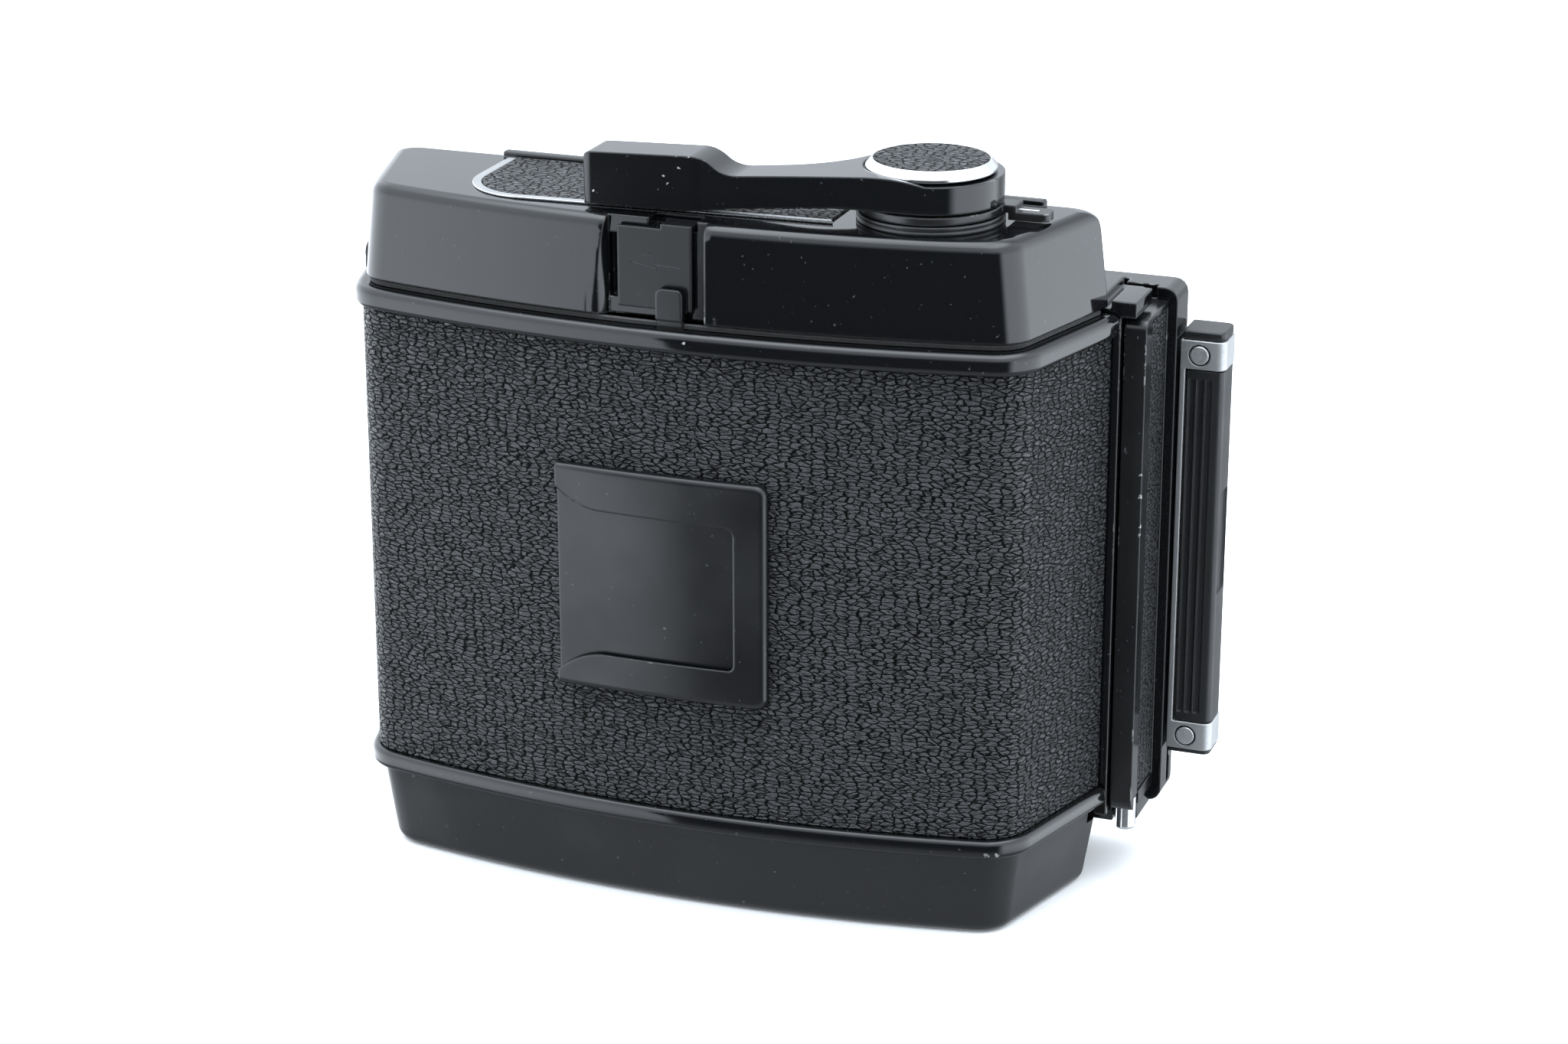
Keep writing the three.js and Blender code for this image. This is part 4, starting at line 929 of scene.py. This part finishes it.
def build_latch():
    finish_piece(refine("latch_plate", 0.12), "latch", SHEET, "enamel", "latch_plate")
    tip, upper, lower = (-5.6, 99.3), (-2.7, 100.7), (-1.6, 98.5)
    for i, (a, b) in enumerate(((tip, upper), (upper, lower), (lower, tip), ((-1.9, 99.1), (2.0, 98.9)))):
        along = (Vector(b) - Vector(a)).normalized() * 0.07
        side = Vector((-along.y, along.x))
        corners = [Vector(a) - along - side, Vector(b) + along - side, Vector(b) + along + side,
                   Vector(a) - along + side]
        stroke = prism("latch_arrow_" + str(i + 1), [tuple(p) for p in corners], "y", -28.015, -27.9)
        finish_piece(soften(stroke, 0), "latch", MATTE, "enamel")


def build_tongue():
    x0, x1 = -1.4, 2.7
    radius = 0.95
    front = [(x0, 91.4), (x1, 91.4)]
    front += arc(x1 - radius, 96.0 - radius, radius, 0, math.pi / 2, 8)
    front += arc(x0 + radius, 96.0 - radius, radius, math.pi / 2, math.pi, 8)
    tongue = prism("tongue_plate", front, "y", -29.3, -28.5)
    combine(tongue, "UNION", box("tongue_leg", (x0, x1), (-28.7, -27.8), (88.4, 92.3)))
    finish_piece(soften(tongue, 0.16, 3), "cover", SHEET, "enamel", "catch_tongue")


def build_release():
    finish_piece(refine("release_ring", 0.22, 3), "release", WORN, "enamel", "release_ring")
    line = box("release_line", (45.4, 49.3), (-10.6, -10.1), (107.29, 107.33))
    finish_piece(soften(line, 0.01, 1), "release", PAINT_LINE, "dial")


FINE = [
    # body, edge width, material, slot, nodes
    ("chassis", 0.3, GLOSS, "enamel", ["front_plate", "main_frame"]),
    ("chassis", 0.4, PANEL_ENAMEL, "enamel", ["side_panel_right", "side_panel_left"]),
    ("chassis", 0.15, ALLOY, "cast_alloy", ["cassette_frame", "top_deck"]),
    ("chassis", 0.1, STEEL, "satin_steel",
     ["front_screw_1", "front_screw_2", "front_screw_3", "front_screw_4", "idler_post", "counter_post",
      "supply_pivot"]),
    ("chassis", 0.0, FELT, "light_seal_felt", ["light_trap"]),
    ("chassis", 0.1, GLASS, "window", ["counter_window"]),
    ("cover", 0.0, FELT, "light_seal_felt", ["light_seal"]),
    ("cover", 0.1, STEEL, "satin_steel", ["hinge_pin"]),
    ("latch", 0.0, STEEL, "satin_steel", ["latch_spring"]),
    ("lever", 0.1, BRASS, "brass", ["lever_shaft"]),
    ("lever", 0.0, STEEL, "satin_steel", ["return_spring"]),
    ("idler", 0.1, BRASS, "brass", ["idler_gear"]),
    ("takeup", 0.1, BRASS, "brass", ["takeup_drive"]),
    ("takeup", 0.25, SPOOL_PLASTIC, "matte_black", ["takeup_spool"]),
    ("counter", 0.1, DIAL, "dial", ["counter_dial"]),
    ("takeup_peg", 0.15, STEEL, "satin_steel", ["takeup_stud"]),
    ("supply_peg", 0.15, STEEL, "satin_steel", ["supply_stud"]),
    ("roller_right", 0.2, STEEL, "satin_steel", ["film_roller_right"]),
    ("roller_left", 0.2, STEEL, "satin_steel", ["film_roller_left"]),
    ("pressure", 0.15, STEEL, "satin_steel", ["pressure_plate"]),
    ("pressure", 0.0, STEEL, "satin_steel", ["plate_spring_upper", "plate_spring_lower"]),
    ("pin_upper", 0.1, STEEL, "satin_steel", ["lock_pin_1"]),
    ("pin_lower", 0.1, STEEL, "satin_steel", ["lock_pin_2"]),
    ("dark_slide", 0.1, SLIDE_STEEL, "satin_steel", ["slide_sheet"]),
    ("dark_slide", 0.12, RIVET_STEEL, "satin_steel", ["handle_rivet_1", "handle_rivet_2"]),
    ("dark_slide", 0.25, SATIN_STEEL, "satin_steel", ["handle_core"]),
    ("dark_slide", 0.12, MATTE, "matte_black", ["handle_grip"]),
    ("dark_slide", 0.3, MATTE, "matte_black", ["handle_cap_upper", "handle_cap_lower"]),
]


def build_fine():
    for body, width, material, slot, nodes in FINE:
        for node in nodes:
            finish_piece(refine(node, width), body, material, slot, node)


# ---- Stage ----

FLOOR_HALF = 4.0            # metres
DOME_RADIUS = 3.5
GAP_LEFT = (-22.3, -21.4)   # degrees either side of straight behind the part
GAP_RIGHT = (42, 60)
FRONT_SHADE = (132, 155)
STUDIO_TINT = (0.93, 1.0, 1.075, 1)

CAMERA_AT = (0.1943, -0.4935, 0.2444)
CAMERA_AZIMUTH = 20.304
CAMERA_ELEVATION = 19.618
LENS = 86.85
SENSOR_WIDTH = 36.0


def build_stage():
    corners = [(-1, -1), (1, -1), (1, 1), (-1, 1)]
    floor = make("floor", [Vector((x, y, 0)) * FLOOR_HALF for x, y in corners], [(0, 1, 2, 3)])
    s = Shader("floor_paper")
    floor.data.materials.append(s.set(
        Base_Color=s.mix(s.noise(2.0), (0.92, 0.92, 0.92, 1), (0.94, 0.94, 0.94, 1)), Roughness=0.9,
    ))
    floor.visible_glossy = False
    bpy.ops.mesh.primitive_uv_sphere_add(segments=48, ring_count=24, radius=DOME_RADIUS)
    dome = bpy.context.object
    dome.name = "backdrop"
    glow = bpy.data.materials.new("backdrop_white")
    glow.use_nodes = True
    surface = glow.node_tree.nodes["Principled BSDF"]
    surface.inputs["Base Color"].default_value = (0, 0, 0, 1)
    surface.inputs["Emission Color"].default_value = (1, 1, 1, 1)
    surface.inputs["Emission Strength"].default_value = 1.3
    dome.data.materials.append(glow)
    dome.visible_diffuse = False
    dome.visible_glossy = False
    dome.visible_transmission = False
    dome.visible_shadow = False


def build_world():
    """A white studio with one dark gap, which the glossy faces turned to it reflect as black."""
    world = bpy.data.worlds.new("studio")
    bpy.context.scene.world = world
    world.use_nodes = True
    tree = world.node_tree
    tree.nodes.clear()
    output = tree.nodes.new("ShaderNodeOutputWorld")
    background = tree.nodes.new("ShaderNodeBackground")
    coordinates = tree.nodes.new("ShaderNodeTexCoord")
    split = tree.nodes.new("ShaderNodeSeparateXYZ")
    tree.links.new(coordinates.outputs["Generated"], split.inputs[0])

    def calc(operation, a, b=0.0, c=0.0):
        node = tree.nodes.new("ShaderNodeMath")
        node.operation = operation
        for socket, value in zip(node.inputs, (a, b, c)):
            if isinstance(value, (int, float)):
                socket.default_value = value
            else:
                tree.links.new(value, socket)
        return node.outputs[0]

    def step(value, low, high, out_low=0.0, out_high=1.0):
        node = tree.nodes.new("ShaderNodeMapRange")
        node.interpolation_type = "SMOOTHSTEP"
        for key, number in zip(RAMP_SOCKETS, (low, high, out_low, out_high)):
            node.inputs[key].default_value = number
        tree.links.new(value, node.inputs["Value"])
        return node.outputs["Result"]

    height = split.outputs["Z"]
    turn = calc("ARCTAN2", split.outputs["X"], calc("MULTIPLY", split.outputs["Y"], -1.0))
    gap = calc("MULTIPLY", step(turn, *map(math.radians, GAP_LEFT)),
               step(turn, *map(math.radians, GAP_RIGHT), 1.0, 0.0))
    band = calc("MULTIPLY", step(height, -0.52, -0.40), step(height, 0.15, 0.6, 1.0, 0.0))
    dark = calc("MULTIPLY", gap, band)
    behind = step(calc("ABSOLUTE", turn), *map(math.radians, FRONT_SHADE))
    dim = calc("SUBTRACT", 1.0, calc("MULTIPLY", behind, step(height, -0.1, 0.25, 0.78, 0.5)))
    left = step(turn, math.radians(-50), math.radians(-18), 1.05, 0.75)
    left = calc("ADD", left, step(turn, math.radians(-10), math.radians(50), 0.0, 0.25))
    bright = calc("MULTIPLY", calc("MULTIPLY", step(height, 0.0, 0.4, 3.0, 2.3), left), dim)
    bright = calc("ADD", bright, step(height, 0.75, 0.95, 0.0, 3.0))
    low = step(height, -0.52, -0.38)
    level = calc("ADD", calc("MULTIPLY", low, bright), calc("MULTIPLY", calc("SUBTRACT", 1.0, low), 0.6))
    level = calc("ADD", calc("MULTIPLY", calc("SUBTRACT", 1.0, dark), level), calc("MULTIPLY", dark, 0.07))
    background.inputs["Color"].default_value = STUDIO_TINT
    tree.links.new(level, background.inputs["Strength"])
    tree.links.new(background.outputs[0], output.inputs["Surface"])


def build_camera():
    camera = bpy.data.cameras.new("camera")
    camera.lens = LENS
    camera.sensor_width = SENSOR_WIDTH
    camera.clip_start = 0.01
    obj = bpy.data.objects.new("camera", camera)
    bpy.context.scene.collection.objects.link(obj)
    obj.location = CAMERA_AT
    azimuth, elevation = math.radians(CAMERA_AZIMUTH), math.radians(CAMERA_ELEVATION)
    obj.rotation_euler = (math.pi / 2 - elevation, 0.0, azimuth)
    bpy.context.scene.camera = obj


build_camera()
build_stage()
build_world()
build_cover()
build_memo_holder()
build_base()
build_top()
build_inlay()
build_lever()
build_latch()
build_tongue()
build_release()
build_side_strips()
build_side_pins()
build_fine()

bpy.context.scene.view_settings.view_transform = "Standard"
